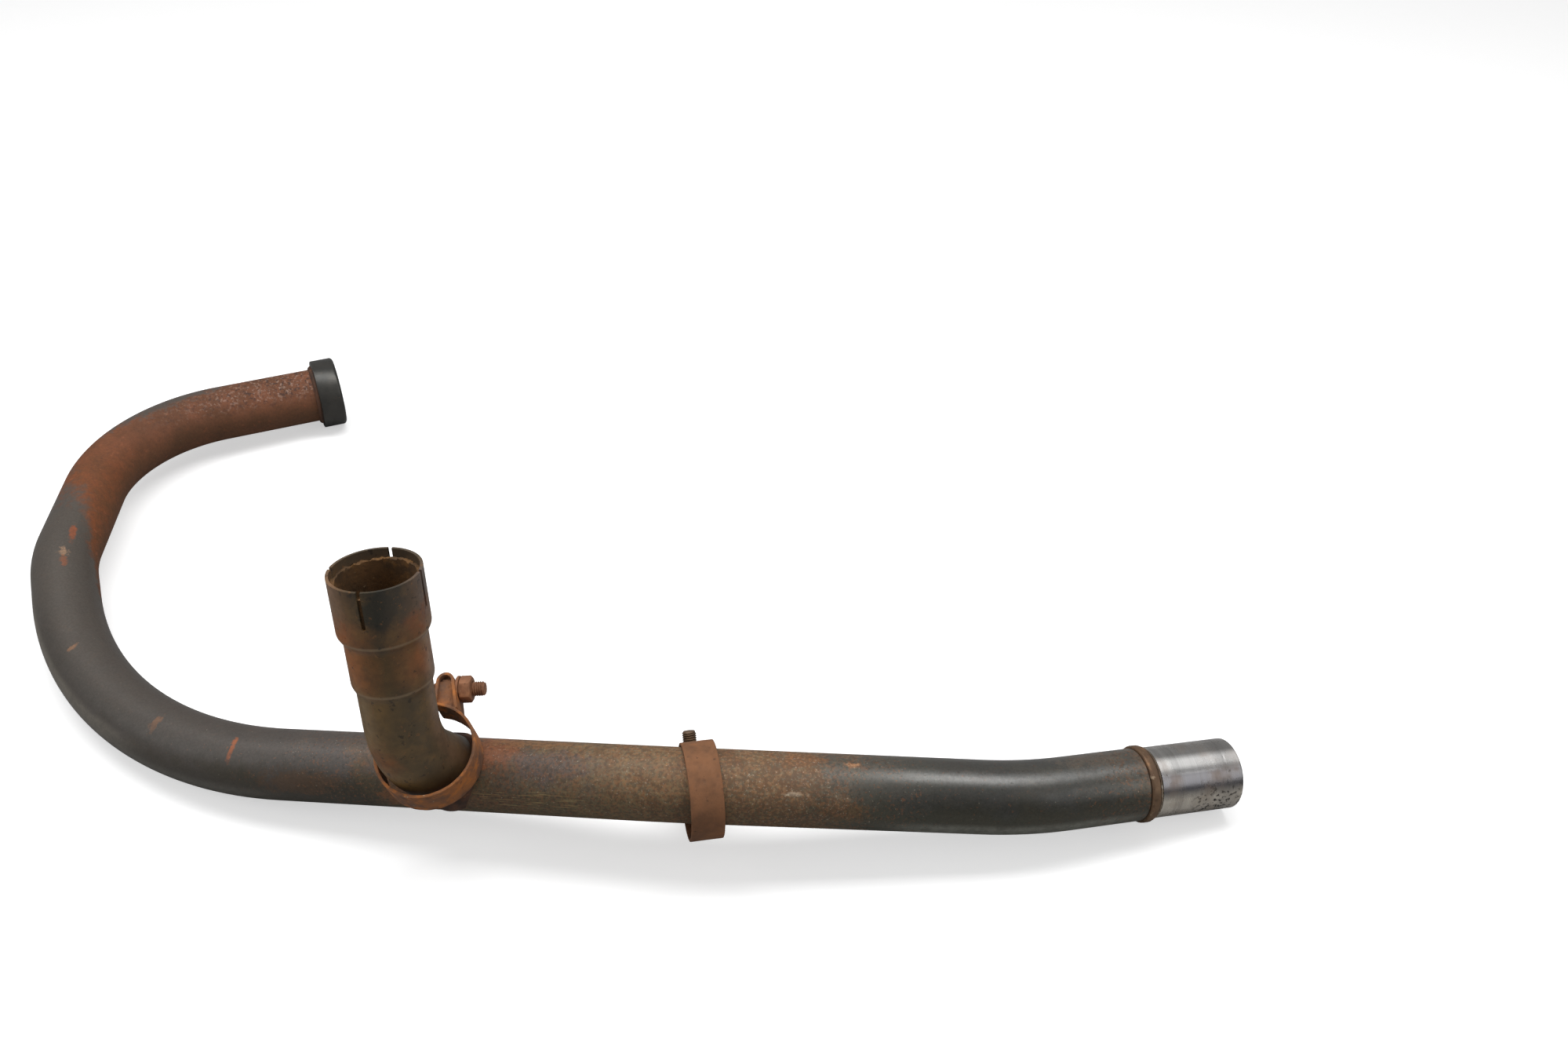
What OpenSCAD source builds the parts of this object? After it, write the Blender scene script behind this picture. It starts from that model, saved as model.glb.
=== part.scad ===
// One side of a motorcycle exhaust header: a bent head pipe with a port collar, a branch that ends
// in a slotted crossover socket, a sleeve for the muffler and two loose clamps.
// It lies on a floor at z = 0, on the collar, the low bend and the end of the sleeve.

/* [Head pipe] */
// Outside diameter of the pipe
pipe_od = 40; // [36:0.5:44]
// Wall of the pipe
pipe_wall = 1; // [0.8:0.1:1.6]
// Bend radius of the elbow behind the port
port_bend_r = 98; // [80:1:105]
// Bend radius of the slight bend at the side
side_bend_r = 108; // [80:1:120]
// Bend radius of the long low bend
low_bend_r = 232; // [200:1:240]
// Bend radius of the rise past the branch
rise_bend_r = 197; // [150:1:240]
// Bend radius of the slight bend before the tail
tail_bend_r = 220; // [170:1:250]

/* [Plan and heights] */
// Length in plan, from the side bend's corner to the end of the sleeve
reach_x = 743.8; // [735:0.1:755]
// Depth in plan, from the port's face to the rise bend's corner
reach_y = 426.5; // [420:0.1:432]
// Height of the port bend's corner above a pipe that lies on the floor
port_lift = 10.5; // [8:0.5:13]
// Height of the side bend's corner, likewise
side_lift = 11; // [9:0.5:13]
// Depth of the low bend's corner, likewise, at which the bend itself lies on the floor
low_drop = 7.93; // [7.5:0.01:7.93]
// Height of the rise bend's corner, likewise
rise_lift = 34; // [32:0.5:36]
// Height of the tail bend's corner, likewise
tail_lift = 14; // [12:0.5:16]

/* [Port collar] */
// Outside diameter of the collar
collar_od = 52; // [48:0.5:58]
// Length of the collar
collar_len = 17; // [14:0.5:22]
// Radius of the collar's front edge
collar_round = 2.5; // [1:0.5:4]
// Chamfer of the collar's rear edge
collar_chamfer = 0.8; // [0.4:0.1:1.5]
// How far the pipe stops behind the collar's face, as a seat for the port gasket
seat_depth = 2; // [1:0.5:4]
// Width of the filler bead behind the collar
collar_bead = 2.5; // [1.5:0.5:4]
// Length of the nick in the collar's rear edge
nick_len = 6; // [3:0.5:8]
// Depth of the nick
nick_depth = 1; // [0.5:0.1:1.5]

/* [Tail] */
// Step from the sleeve's neck, which fits the pipe's bore, up to its bright part
sleeve_step = 0.65; // [0.3:0.05:1]
// Wall of the sleeve
sleeve_wall = 1.5; // [1:0.1:2.5]
// Length of the sleeve that stands out past its ring
sleeve_out = 52; // [40:1:58]
// Length of the neck that is hidden in the pipe
sleeve_in = 40; // [30:1:45]
// How far the stop ring stands out past the pipe
ring_rise = 1.4; // [0.6:0.1:2.5]
// Length of the stop ring
ring_len = 5.5; // [4:0.5:8]
// Groove between the end of the pipe and the stop ring
ring_gap = 0.5; // [0.3:0.1:0.9]
// Size of the filler bead between the ring and the sleeve
ring_bead = 1.8; // [1:0.2:2.4]

/* [Branch and socket] */
// Distance of the branch from the corner of the low bend
branch_at = 238; // [215:1:260]
// Outside diameter of the branch
branch_od = 38; // [34:0.5:38.5]
// Wall of the branch
branch_wall = 1.5; // [1:0.1:2]
// Length from the centre of the pipe to the elbow's corner
branch_len = 49; // [47:1:60]
// Direction of the branch seen from above
branch_heading = 230; // [220:1:240]
// How steeply the branch rises
branch_rise = 54; // [50:1:60]
// Bend radius of the branch's elbow
elbow_r = 52; // [46:1:54]
// Length from the elbow's corner to the mouth
socket_reach = 110; // [100:1:125]
// Lean of the socket away from upright
socket_lean = 11.3; // [8:0.1:14]
// Direction of that lean seen from above
socket_heading = 97; // [90:1:104]
// Outside diameter of the socket's mouth
mouth_od = 46.5; // [44.5:0.5:48]
// Length of the mouth
mouth_len = 30.5; // [28:0.5:33]
// Outside diameter of the middle section
middle_od = 41.5; // [40:0.5:43]
// Length of the middle section
middle_len = 23; // [19:0.5:25]
// Length of each of the two tapers
taper_len = 6.5; // [4:0.5:7]
// Number of slots in the mouth
slot_count = 4; // [3:1:6]
// Width of a slot
slot_w = 2; // [1:0.2:3]
// Length of a slot
slot_len = 20.5; // [12:0.5:22]
// Turn of the slots about the socket
slot_turn = 85; // [0:1:89]
// Height of the filler bead round the branch's foot
branch_bead = 2.4; // [2.2:0.1:3.2]
// Depth of the stuck gasket sleeve below the mouth
gasket_depth = 4; // [2:0.5:14]
// Wall of the gasket sleeve
gasket_wall = 2; // [1:0.1:2.5]

/* [Clamp bands] */
// Thickness of both bands
band_t = 1.8; // [1.2:0.1:2.5]
// Inside diameter of the crossover clamp
cross_id = 50.6; // [50:0.2:54]
// Width of the crossover clamp
cross_w = 18; // [14:0.5:19]
// Lean of the crossover clamp towards the open side of the branch
cross_lean = 19.9; // [17:0.1:22]
// Side lean of the crossover clamp
cross_side_lean = 6.4; // [5:0.1:8]
// Place of the crossover clamp along the pipe, before the branch
cross_back = 6.4; // [5:0.1:8]
// Place of the crossover clamp across the pipe
cross_out = 11; // [10:0.1:12]
// Turn of the crossover clamp's ears
cross_turn = 100; // [90:1:110]
// Inside diameter of the muffler clamp
muffler_id = 49; // [47:0.2:54]
// Width of the muffler clamp
muffler_w = 17.8; // [14:0.5:22]
// Place of the muffler clamp on the rise bend, as an angle
muffler_at = 12.5; // [6:0.1:16]
// Turn of the muffler clamp out of square with the pipe
muffler_yaw = 12.4; // [0:0.1:16]
// Turn of the muffler clamp's ears, from straight down
muffler_turn = 52.5; // [40:0.5:80]

/* [Clamp ears and screws] */
// Gap between the looped ears of the crossover clamp
loop_gap = 3; // [2:0.5:5]
// Height of the looped ears above the band
loop_h = 17.5; // [16:0.5:20]
// Outside radius of the top of a loop
loop_r = 5; // [4.6:0.1:5.6]
// Depth of the hollow above the rust scale that fills the loop at the nut
nut_hollow = 8; // [2:0.5:12]
// Depth of the hollow above the rust scale that fills the loop at the screw's head
head_hollow = 1; // [0.5:0.5:12]
// Half width of a loop's foot
loop_foot = 15; // [13:0.5:17]
// Gap between the flat ears of the muffler clamp
ear_gap = 5; // [3:0.5:8]
// Height of the flat ears above the band
ear_h = 17.5; // [16:0.5:21]
// Thickness of the backing plates
plate_t = 2.5; // [1.5:0.1:3.5]
// Width of the backing plates along the pipe
plate_w = 26; // [20:1:30]
// Corner cut of the backing plates
plate_cut = 5; // [3:0.5:6]
// Height of the screws above the bands
screw_h = 11; // [10.5:0.1:12]
// Diameter of the screws
screw_d = 8; // [6:0.1:8]
// Width across the flats of the screw heads and nuts
hex_af = 13; // [10:0.5:13]
// Height of a screw head
head_h = 5.3; // [4:0.1:6]
// Height of a nut
nut_h = 6.5; // [5:0.1:8]
// Diameter of a washer
washer_d = 15; // [13:0.5:16]
// Thickness of a washer
washer_t = 1.5; // [1:0.1:2]
// Length of thread past the crossover clamp's nut
cross_thread = 7; // [3:0.5:10]
// Length of thread past the muffler clamp's nut
muffler_thread = 11.5; // [3:0.5:14]

/* [Hidden] */
$fn = 72;

steel_dark = "#3b3835";
steel_black = "#2f302e";
steel_bright = "#b9b7b2";
rust_red = "#7d503e";
rust_orange = "#8a5530";
rust_olive = "#574a3a";

fit = 0.02; // radial clearance of what is welded or pressed together
slide = 0.05; // radial clearance of the gasket and of the sleeve's neck
touch = 0.1; // clearance of what only lies against another piece
over = 1; // how far a cut runs past a face
swell = 0.2; // how much fuller a bend is than the straights, so that they lap without a gap
lap = 1; // how far a straight runs into a bend

pipe_r = pipe_od / 2;
collar_r = collar_od / 2;
neck_r = pipe_r - pipe_wall - slide;
sleeve_r = neck_r + sleeve_step;
ring_r = pipe_r + ring_rise;
branch_r = branch_od / 2;

// The plan's size against the size at which its corners are given
wide = reach_x / 743.8;
deep = reach_y / 426.5;
// Corners of the pipe's centreline, from the port's face to the end of the sleeve
corners = [
    [-222 * wide, 214.8 * deep, collar_r - touch / 2],
    [-368 * wide, 149.8 * deep, pipe_r + port_lift],
    [-350 * wide, 0.3 * deep, pipe_r + side_lift],
    [-285 * wide, -151.7 * deep, pipe_r + swell - low_drop],
    [68 * wide, -211.7 * deep, pipe_r + rise_lift],
    [256.6 * wide, -204.1 * deep, pipe_r + tail_lift],
    [375.8 * wide, -172.6 * deep, sleeve_r - touch]
];
bend_r = [0, port_bend_r, side_bend_r, low_bend_r, rise_bend_r, tail_bend_r, 0];
last = len(corners) - 1;
low = 3; // the low bend's corner
rise = 4; // the rise bend's corner
up = [0, 0, 1];

function unit(v) = v / norm(v);
function leg_dir(i) = unit(corners[i + 1] - corners[i]);
function leg_len(i) = norm(corners[i + 1] - corners[i]);
function turn(a, b) = acos(a * b);
function setback(i) = bend_r[i] == 0 ? 0 : bend_r[i] * tan(turn(leg_dir(i - 1), leg_dir(i)) / 2);
function polar(rise_angle, heading) =
    [cos(rise_angle) * cos(heading), cos(rise_angle) * sin(heading), sin(rise_angle)];
// The side towards which a path that runs along a turns to run along b
function inward(a, b) = unit(b - (a * b) * a);

// Stands the children's z axis along direction d at point p
module along(p, d) {
    translate(p) rotate([0, acos(d[2]), atan2(d[1], d[0])]) children();
}

// A round bar that turns from direction a to direction b about the corner p
module round_bend(p, a, b, bend, r) {
    angle = turn(a, b);
    side = inward(a, b);
    start = p - bend * tan(angle / 2) * a;
    centre = start + bend * side;
    axis = cross(-side, a);
    multmatrix([
        [-side[0], a[0], axis[0], centre[0]],
        [-side[1], a[1], axis[1], centre[1]],
        [-side[2], a[2], axis[2], centre[2]],
        [0, 0, 0, 1]
    ])
        rotate_extrude(angle = angle) translate([bend, 0]) circle(r + swell);
}

// The pipe's centreline as a solid bar of radius r, cut short or made longer at its two ends
module pipe_bar(r, at_port, at_tail) {
    for (i = [0 : last - 1]) {
        front = i == 0 ? -at_port : setback(i) - lap;
        back = i == last - 1 ? -at_tail : setback(i + 1) - lap;
        along(corners[i] + front * leg_dir(i), leg_dir(i))
            cylinder(r = r, h = leg_len(i) - front - back);
    }
    for (i = [1 : last - 1])
        round_bend(corners[i], leg_dir(i - 1), leg_dir(i), bend_r[i], r);
}

// What is left outside a quarter circle, to round a square corner
module round_corner(r) {
    difference() {
        translate([-over, -over]) square(r + over);
        translate([r, r]) circle(r);
    }
}

// A ring bead of size s that fills the corner between a bar of radius r and a face at z = 0
module bead(r, s) {
    rotate_extrude() intersection() {
        translate([r, 0]) circle(s);
        translate([r, 0]) square(s);
    }
}

// Port collar and its bead

tail_dir = leg_dir(last - 1);
tail_end = corners[last];
port_dir = -leg_dir(0);
collar_back = corners[0] - collar_len * port_dir;

module port_collar() {
    color(steel_black) along(collar_back, port_dir) difference() {
        rotate_extrude() difference() {
            translate([pipe_r + fit, 0]) square([collar_r - pipe_r - fit, collar_len]);
            translate([collar_r, collar_len]) rotate(180) round_corner(collar_round);
            translate([collar_r, 0]) rotate(45)
                square(collar_chamfer * sqrt(2), center = true);
        }
        // the nick lies at the top of the rear edge
        rotate([0, 0, 180]) translate([collar_r - nick_depth, -nick_len / 2, -over])
            cube([nick_depth + over, nick_len, over + nick_len / 2]);
    }
}

module collar_weld() {
    color(steel_dark) along(collar_back, -port_dir) translate([0, 0, fit])
        bead(pipe_r + fit, collar_bead);
}

// Tail sleeve, its stop ring and bead

ring_back = tail_end - (sleeve_out + ring_len) * tail_dir;
weld_size = min(ring_bead, (ring_r - neck_r) * 0.9);

module tail_sleeve() {
    hidden = sleeve_in + ring_gap + ring_len;
    neck_len = hidden + weld_size + fit + touch; // the neck ends at the bead's toe
    full_len = hidden + sleeve_out;
    color(steel_bright) along(tail_end - full_len * tail_dir, tail_dir)
        rotate_extrude() difference() {
            union() {
                translate([neck_r - sleeve_wall, 0]) square([sleeve_wall, neck_len + sleeve_wall]);
                translate([sleeve_r - sleeve_wall, neck_len]) square([sleeve_wall, full_len - neck_len]);
            }
            translate([sleeve_r, full_len]) rotate(180) round_corner(sleeve_wall / 2);
        }
}

module stop_ring() {
    edge = (ring_r - neck_r) * 0.6;
    color(rust_orange) along(ring_back, tail_dir)
        rotate_extrude() difference() {
            translate([neck_r + fit, 0]) square([ring_r - neck_r - fit, ring_len]);
            translate([ring_r, 0]) rotate(90) round_corner(edge);
            translate([ring_r, ring_len]) rotate(180) round_corner(edge);
        }
}

module ring_weld() {
    color(steel_bright) along(ring_back + (ring_len + fit) * tail_dir, tail_dir)
        bead(neck_r + fit, weld_size);
}

// Head pipe

branch_root = corners[low] + branch_at * leg_dir(low);
branch_dir = polar(branch_rise, branch_heading);
socket_dir = polar(90 - socket_lean, socket_heading);
elbow = branch_root + branch_len * branch_dir;
mouth = elbow + socket_reach * socket_dir;

module header_pipe() {
    color(steel_dark) difference() {
        pipe_bar(pipe_r, -seat_depth, -sleeve_out - ring_len - ring_gap);
        pipe_bar(pipe_r - pipe_wall, over, over);
        along(branch_root, branch_dir) cylinder(r = branch_r - branch_wall, h = pipe_od);
    }
}

// Branch: a bent tube that is opened out in two steps and slotted at its mouth

// The outside of the branch, set in by the amount inset
module branch_bar(inset, past_mouth) {
    angle = turn(branch_dir, socket_dir);
    set = elbow_r * tan(angle / 2);
    r0 = branch_r - inset;
    r1 = middle_od / 2 - inset;
    r2 = mouth_od / 2 - inset;
    z2 = socket_reach - mouth_len;
    z1 = z2 - taper_len - middle_len;
    z0 = z1 - taper_len;
    along(branch_root, branch_dir) cylinder(r = r0, h = branch_len - set + lap);
    round_bend(elbow, branch_dir, socket_dir, elbow_r, r0);
    along(elbow, socket_dir)
        rotate_extrude() polygon([
            [0, set - lap], [r0, set - lap], [r0, z0], [r1, z1], [r1, z1 + middle_len],
            [r2, z2], [r2, socket_reach + past_mouth], [0, socket_reach + past_mouth]
        ]);
}

module slot() {
    translate([0, -slot_w / 2, -slot_len + slot_w / 2])
        cube([mouth_od, slot_w, slot_len]);
    translate([0, 0, -slot_len + slot_w / 2]) rotate([0, 90, 0])
        cylinder(d = slot_w, h = mouth_od);
}

module crossover_branch() {
    color(rust_olive) difference() {
        branch_bar(0, 0);
        branch_bar(branch_wall, over);
        along(corners[low], leg_dir(low)) cylinder(r = pipe_r + fit, h = leg_len(low));
        along(mouth, socket_dir) for (k = [0 : slot_count - 1])
            rotate([0, 0, slot_turn - socket_heading + k * 360 / slot_count]) slot();
    }
}

// The bead fills the corner between the branch and the pipe, down to the lowest point of the joint
module branch_weld() {
    foot = sqrt(pipe_r * pipe_r - branch_r * branch_r) - branch_bead;
    color(rust_orange) difference() {
        intersection() {
            along(branch_root + foot * branch_dir, branch_dir)
                cylinder(r = branch_r + fit + branch_bead, h = branch_len - foot);
            along(corners[low], leg_dir(low))
                cylinder(r = pipe_r + fit + branch_bead, h = leg_len(low));
        }
        along(branch_root - over * branch_dir, branch_dir)
            cylinder(r = branch_r + fit, h = branch_len + 2 * over);
        along(corners[low], leg_dir(low)) cylinder(r = pipe_r + fit, h = leg_len(low));
    }
}

module socket_gasket() {
    outer = mouth_od / 2 - branch_wall - slide;
    len = mouth_len - gasket_depth - slide;
    color(rust_orange) along(mouth - mouth_len * socket_dir, socket_dir)
        translate([0, 0, slide]) rotate_extrude() difference() {
            translate([outer - gasket_wall, 0]) square([gasket_wall, len]);
            translate([outer - gasket_wall, len]) rotate(45)
                square(gasket_wall / 2 * sqrt(2), center = true);
        }
}

// Screws, nuts and washers, with the screw's head under z = 0 and its thread along +z

module hex(h) {
    cylinder(d = hex_af / cos(30), h = h, $fn = 6);
}

module hex_screw(len) {
    translate([0, 0, -head_h]) hex(head_h);
    cylinder(d = screw_d, h = len);
}

module hex_nut() {
    difference() {
        hex(nut_h);
        translate([0, 0, -over]) cylinder(d = screw_d + 2 * fit, h = nut_h + 2 * over);
    }
}

module washer() {
    difference() {
        cylinder(d = washer_d, h = washer_t);
        translate([0, 0, -over]) cylinder(d = screw_d + 2 * touch, h = washer_t + 2 * over);
    }
}

// Crossover clamp: it has dropped round the branch's foot and lies on the pipe

cross_r = cross_id / 2;
cross_x = leg_dir(low);
cross_y = unit(cross(up, cross_x));
cross_z = cross(cross_x, cross_y);

// Height at which the band's lower edge just meets the top of the pipe
cross_rest = max([
    for (a = [0 : 2 : 358]) for (r = [cross_r, cross_r + band_t])
        let (
            y = -cross_out + r * sin(a) * cos(cross_lean),
            z = r * (sin(a) * cos(cross_side_lean) * sin(cross_lean)
                     - cos(a) * sin(cross_side_lean))
        )
        if (abs(y) < pipe_r) sqrt(pipe_r * pipe_r - y * y) - z
]);

// The pipe's own frame at the clamp: x along the pipe, y level, z up
module on_crossover_clamp() {
    p = branch_root - cross_back * leg_dir(low);
    multmatrix([
        [cross_x[0], cross_y[0], cross_z[0], p[0]],
        [cross_x[1], cross_y[1], cross_z[1], p[1]],
        [cross_x[2], cross_y[2], cross_z[2], p[2]],
        [0, 0, 0, 1]
    ])
        translate([0, -cross_out, cross_rest + touch]) rotate([cross_lean, cross_side_lean, 0])
            rotate([0, 0, cross_turn]) children();
}

loop_top = cross_r + band_t + loop_h;
loop_at = loop_gap / 2 + loop_r;
loop_foot_x = sqrt(pow(cross_r + band_t, 2) - loop_foot * loop_foot);
// Lean of a loop's outer leg, from its foot to where it meets the round top
loop_rise = [loop_top - loop_r - loop_foot_x, loop_at - loop_foot];
loop_lean = atan2(-loop_rise[1], loop_rise[0]) - asin(loop_r / norm(loop_rise));
loop_side = loop_gap / 2 + 2 * loop_r;

// The outline of one loop, set in by the amount inset, with x outwards and y along the screw
module loop_outline(inset) {
    r = loop_r - inset;
    c = [loop_top - loop_r, loop_at];
    away = [-sin(loop_lean), cos(loop_lean)];
    down = [-cos(loop_lean), -sin(loop_lean)];
    translate(c) circle(r);
    polygon([
        [0, loop_gap / 2 + inset], [c[0], loop_gap / 2 + inset], c + r * [1, 0],
        c + r * away, c + r * away + (loop_h + band_t) * down
    ]);
}

module crossover_clamp_profile() {
    difference() {
        circle(cross_r + band_t);
        circle(cross_r);
        translate([0, -loop_gap / 2]) square([loop_top, loop_gap]);
    }
    for (side = [0, 1]) mirror([0, side]) difference() {
        loop_outline(0);
        loop_outline(band_t);
        circle(cross_r + band_t / 2);
    }
}

// Rust scale that fills one loop, up to a hollow of the given depth
module loop_scale(side, hollow) {
    linear_extrude(cross_w - hollow) mirror([0, side]) difference() {
        loop_outline(band_t / 2);
        circle(cross_r + band_t / 2);
    }
}

module crossover_clamp_band() {
    color(rust_orange) on_crossover_clamp() difference() {
        union() {
            linear_extrude(cross_w) crossover_clamp_profile();
            loop_scale(0, head_hollow);
            loop_scale(1, nut_hollow);
        }
        translate([cross_r + band_t + screw_h, 0, cross_w / 2]) rotate([90, 0, 0])
            cylinder(d = screw_d + 4 * touch, h = 4 * loop_side, center = true);
    }
}

// Places the children on the screw's line, at distance d on the nut's side
module on_cross_screw(d) {
    on_crossover_clamp() translate([cross_r + band_t + screw_h, -d, cross_w / 2])
        rotate([90, 0, 0]) children();
}

module crossover_clamp_screw() {
    grip = 2 * (loop_side + touch) + washer_t + touch + nut_h;
    color(rust_red) on_cross_screw(-loop_side - touch) hex_screw(grip + cross_thread);
}

module crossover_clamp_washer() {
    color(rust_orange) on_cross_screw(loop_side + touch) washer();
}

module crossover_clamp_nut() {
    color(rust_red) on_cross_screw(loop_side + touch + washer_t + touch) hex_nut();
}

// Muffler clamp: it hangs loose on the rise bend

muffler_r = muffler_id / 2;
rise_in = leg_dir(rise - 1);
rise_side = inward(rise_in, leg_dir(rise));
rise_start = corners[rise] - setback(rise) * rise_in;
muffler_spot = rise_start + rise_bend_r * (rise_side - cos(muffler_at) * rise_side
                                           + sin(muffler_at) * rise_in);
pipe_there = cos(muffler_at) * rise_in + sin(muffler_at) * rise_side;
muffler_axis = polar(asin(pipe_there[2]), atan2(pipe_there[1], pipe_there[0]) + muffler_yaw);

// How far the band sinks until the top of its bore meets the pipe
muffler_drop = min([
    for (a = [0 : 2 : 88])
        let (
            r = pipe_r + swell,
            y = (r / cos(muffler_yaw)) * sin(a) + muffler_w / 2 * tan(muffler_yaw),
            z = r * cos(a)
        )
        sqrt(muffler_r * muffler_r - y * y) - z
]);

// The clamp's own frame: z along its axis, x towards its ears
module on_muffler_clamp() {
    along(muffler_spot - (muffler_drop - touch) * up, muffler_axis)
        rotate([0, 0, muffler_turn]) children();
}

module muffler_clamp_profile() {
    difference() {
        circle(muffler_r + band_t);
        circle(muffler_r);
        translate([0, -ear_gap / 2]) square([muffler_r + 2 * band_t, ear_gap]);
    }
    for (side = [0, 1]) mirror([0, side])
        difference() {
            translate([muffler_r - band_t, ear_gap / 2]) square([ear_h + 2 * band_t, band_t]);
            circle(muffler_r);
        }
}

// Places the children on the screw's line, at distance d on the nut's side
module on_muffler_screw(d) {
    on_muffler_clamp() translate([muffler_r + band_t + screw_h, d, 0])
        rotate([-90, 0, 0]) children();
}

module screw_hole() {
    translate([0, 0, -over]) cylinder(d = screw_d + 4 * touch, h = plate_t + 2 * over);
}

module muffler_clamp_band() {
    color(rust_red) difference() {
        on_muffler_clamp() translate([0, 0, -muffler_w / 2])
            linear_extrude(muffler_w) muffler_clamp_profile();
        on_muffler_screw(-ear_gap) cylinder(d = screw_d + 4 * touch, h = 2 * ear_gap);
    }
}

ear_side = ear_gap / 2 + band_t;
plate_low = sqrt(pow(muffler_r + band_t, 2) - pow(ear_side, 2)) + touch;

// A backing plate on the outside of an ear, with two cut corners
module plate() {
    top = muffler_r + band_t + ear_h;
    foot = -(muffler_r + band_t + screw_h - plate_low);
    head = top - (muffler_r + band_t + screw_h);
    difference() {
        linear_extrude(plate_t) polygon([
            [foot, -plate_w / 2], [head - plate_cut, -plate_w / 2],
            [head, -plate_w / 2 + plate_cut], [head, plate_w / 2 - plate_cut],
            [head - plate_cut, plate_w / 2], [foot, plate_w / 2]
        ]);
        screw_hole();
    }
}

module muffler_clamp_upper_plate() {
    color(steel_dark) on_muffler_screw(ear_side + fit) plate();
}

module muffler_clamp_lower_plate() {
    color(steel_dark) on_muffler_screw(-ear_side - fit - plate_t) plate();
}

muffler_side = ear_side + fit + plate_t + fit;

module muffler_clamp_screw() {
    grip = 2 * muffler_side + washer_t + fit + nut_h;
    color(steel_dark) on_muffler_screw(-muffler_side) hex_screw(grip + muffler_thread);
}

module muffler_clamp_washer() {
    color(steel_dark) on_muffler_screw(muffler_side) washer();
}

module muffler_clamp_nut() {
    color(steel_dark) on_muffler_screw(muffler_side + washer_t + fit) hex_nut();
}

header_pipe();
port_collar();
collar_weld();
tail_sleeve();
stop_ring();
ring_weld();
crossover_branch();
branch_weld();
socket_gasket();
crossover_clamp_band();
crossover_clamp_screw();
crossover_clamp_washer();
crossover_clamp_nut();
muffler_clamp_band();
muffler_clamp_lower_plate();
muffler_clamp_upper_plate();
muffler_clamp_screw();
muffler_clamp_washer();
muffler_clamp_nut();
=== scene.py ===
"""The look of one motorcycle exhaust header, as it lies on a pale floor.

Sizes are in millimetres, and a piece is turned into metres when it is finished. Each piece is built
in the part's own frame, so that it lies where the solid that it stands for lies.
"""

import logging
import math
from collections.abc import Callable, Iterable, Sequence
from dataclasses import dataclass, field
from enum import Enum

import bmesh
import bpy
import numpy as np
from bmesh.types import BMEdge, BMesh, BMVert
from mathutils import Matrix, Vector, noise

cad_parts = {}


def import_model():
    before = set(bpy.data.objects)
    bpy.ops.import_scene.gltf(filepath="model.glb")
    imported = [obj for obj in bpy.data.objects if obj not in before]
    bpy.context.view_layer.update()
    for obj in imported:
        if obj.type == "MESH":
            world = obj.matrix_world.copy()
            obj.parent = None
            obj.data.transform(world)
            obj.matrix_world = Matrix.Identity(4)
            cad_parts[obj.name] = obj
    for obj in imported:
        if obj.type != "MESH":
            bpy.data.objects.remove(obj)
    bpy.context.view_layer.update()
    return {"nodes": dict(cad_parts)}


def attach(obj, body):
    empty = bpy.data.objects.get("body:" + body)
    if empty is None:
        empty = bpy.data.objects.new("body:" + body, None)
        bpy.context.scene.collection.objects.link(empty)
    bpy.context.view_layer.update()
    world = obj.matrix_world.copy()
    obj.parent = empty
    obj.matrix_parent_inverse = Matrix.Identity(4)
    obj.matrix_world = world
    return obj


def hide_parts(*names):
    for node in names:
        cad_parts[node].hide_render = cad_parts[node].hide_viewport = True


LOG = logging.getLogger("header")
MM = 0.001
ROOT = "root"
FULL = 2 * math.pi

UP = Vector((0, 0, 1))
Colour = tuple[float, float, float, float]
Stops = tuple[tuple[float, object], ...]


def srgb(red: int, green: int, blue: int) -> Colour:
    """Turns a colour as seen on a screen into the linear values that a shader takes.

    Args:
        red: Red from 0 to 255.
        green: Green from 0 to 255.
        blue: Blue from 0 to 255.

    Returns:
        The linear red, green and blue, and an alpha of 1.
    """
    linear = [((c / 255 + 0.055) / 1.055) ** 2.4 if c > 10 else c / 3294.6 for c in (red, green, blue)]
    return (linear[0], linear[1], linear[2], 1.0)


def frame_of(origin: Sequence[float], rows: Sequence[Sequence[float]]) -> Matrix:
    """Makes a placement from an origin and the rows of a turn.

    Args:
        origin: Where the local origin lies, in millimetres.
        rows: The three rows of the rotation.

    Returns:
        The placement as a 4 by 4 matrix.
    """
    turn = Matrix([list(row) for row in rows]).to_4x4()
    return Matrix.Translation(Vector(origin)) @ turn


def standing(origin: Vector, axis: Vector, towards: Vector) -> Matrix:
    """Makes a placement whose z runs along an axis and whose x leans towards a direction.

    Args:
        origin: Where the local origin lies.
        axis: The direction of the local z.
        towards: A direction that the local x is turned to.

    Returns:
        The placement as a 4 by 4 matrix.
    """
    z = axis.normalized()
    x = (towards - towards.dot(z) * z).normalized()
    y = z.cross(x)
    turn = Matrix((x, y, z)).transposed().to_4x4()
    return Matrix.Translation(origin) @ turn


# Route of a bent tube


@dataclass(frozen=True)
class Stretch:
    """A straight or a bend of a tube's centreline."""

    begin: float
    length: float
    start: Vector
    heading: Vector
    side: Vector | None = None
    radius: float = 0.0

    @property
    def centre(self) -> Vector:
        """The centre of a bend."""
        return self.start + self.radius * self.side

    def at(self, travel: float) -> tuple[Vector, Vector]:
        """Finds a place on the stretch.

        Args:
            travel: Distance from the stretch's start.

        Returns:
            The point and the direction of the centreline there.
        """
        if self.side is None:
            return self.start + travel * self.heading, self.heading
        a = travel / self.radius
        point = self.centre - self.radius * (math.cos(a) * self.side - math.sin(a) * self.heading)
        return point, math.cos(a) * self.heading + math.sin(a) * self.side


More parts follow.
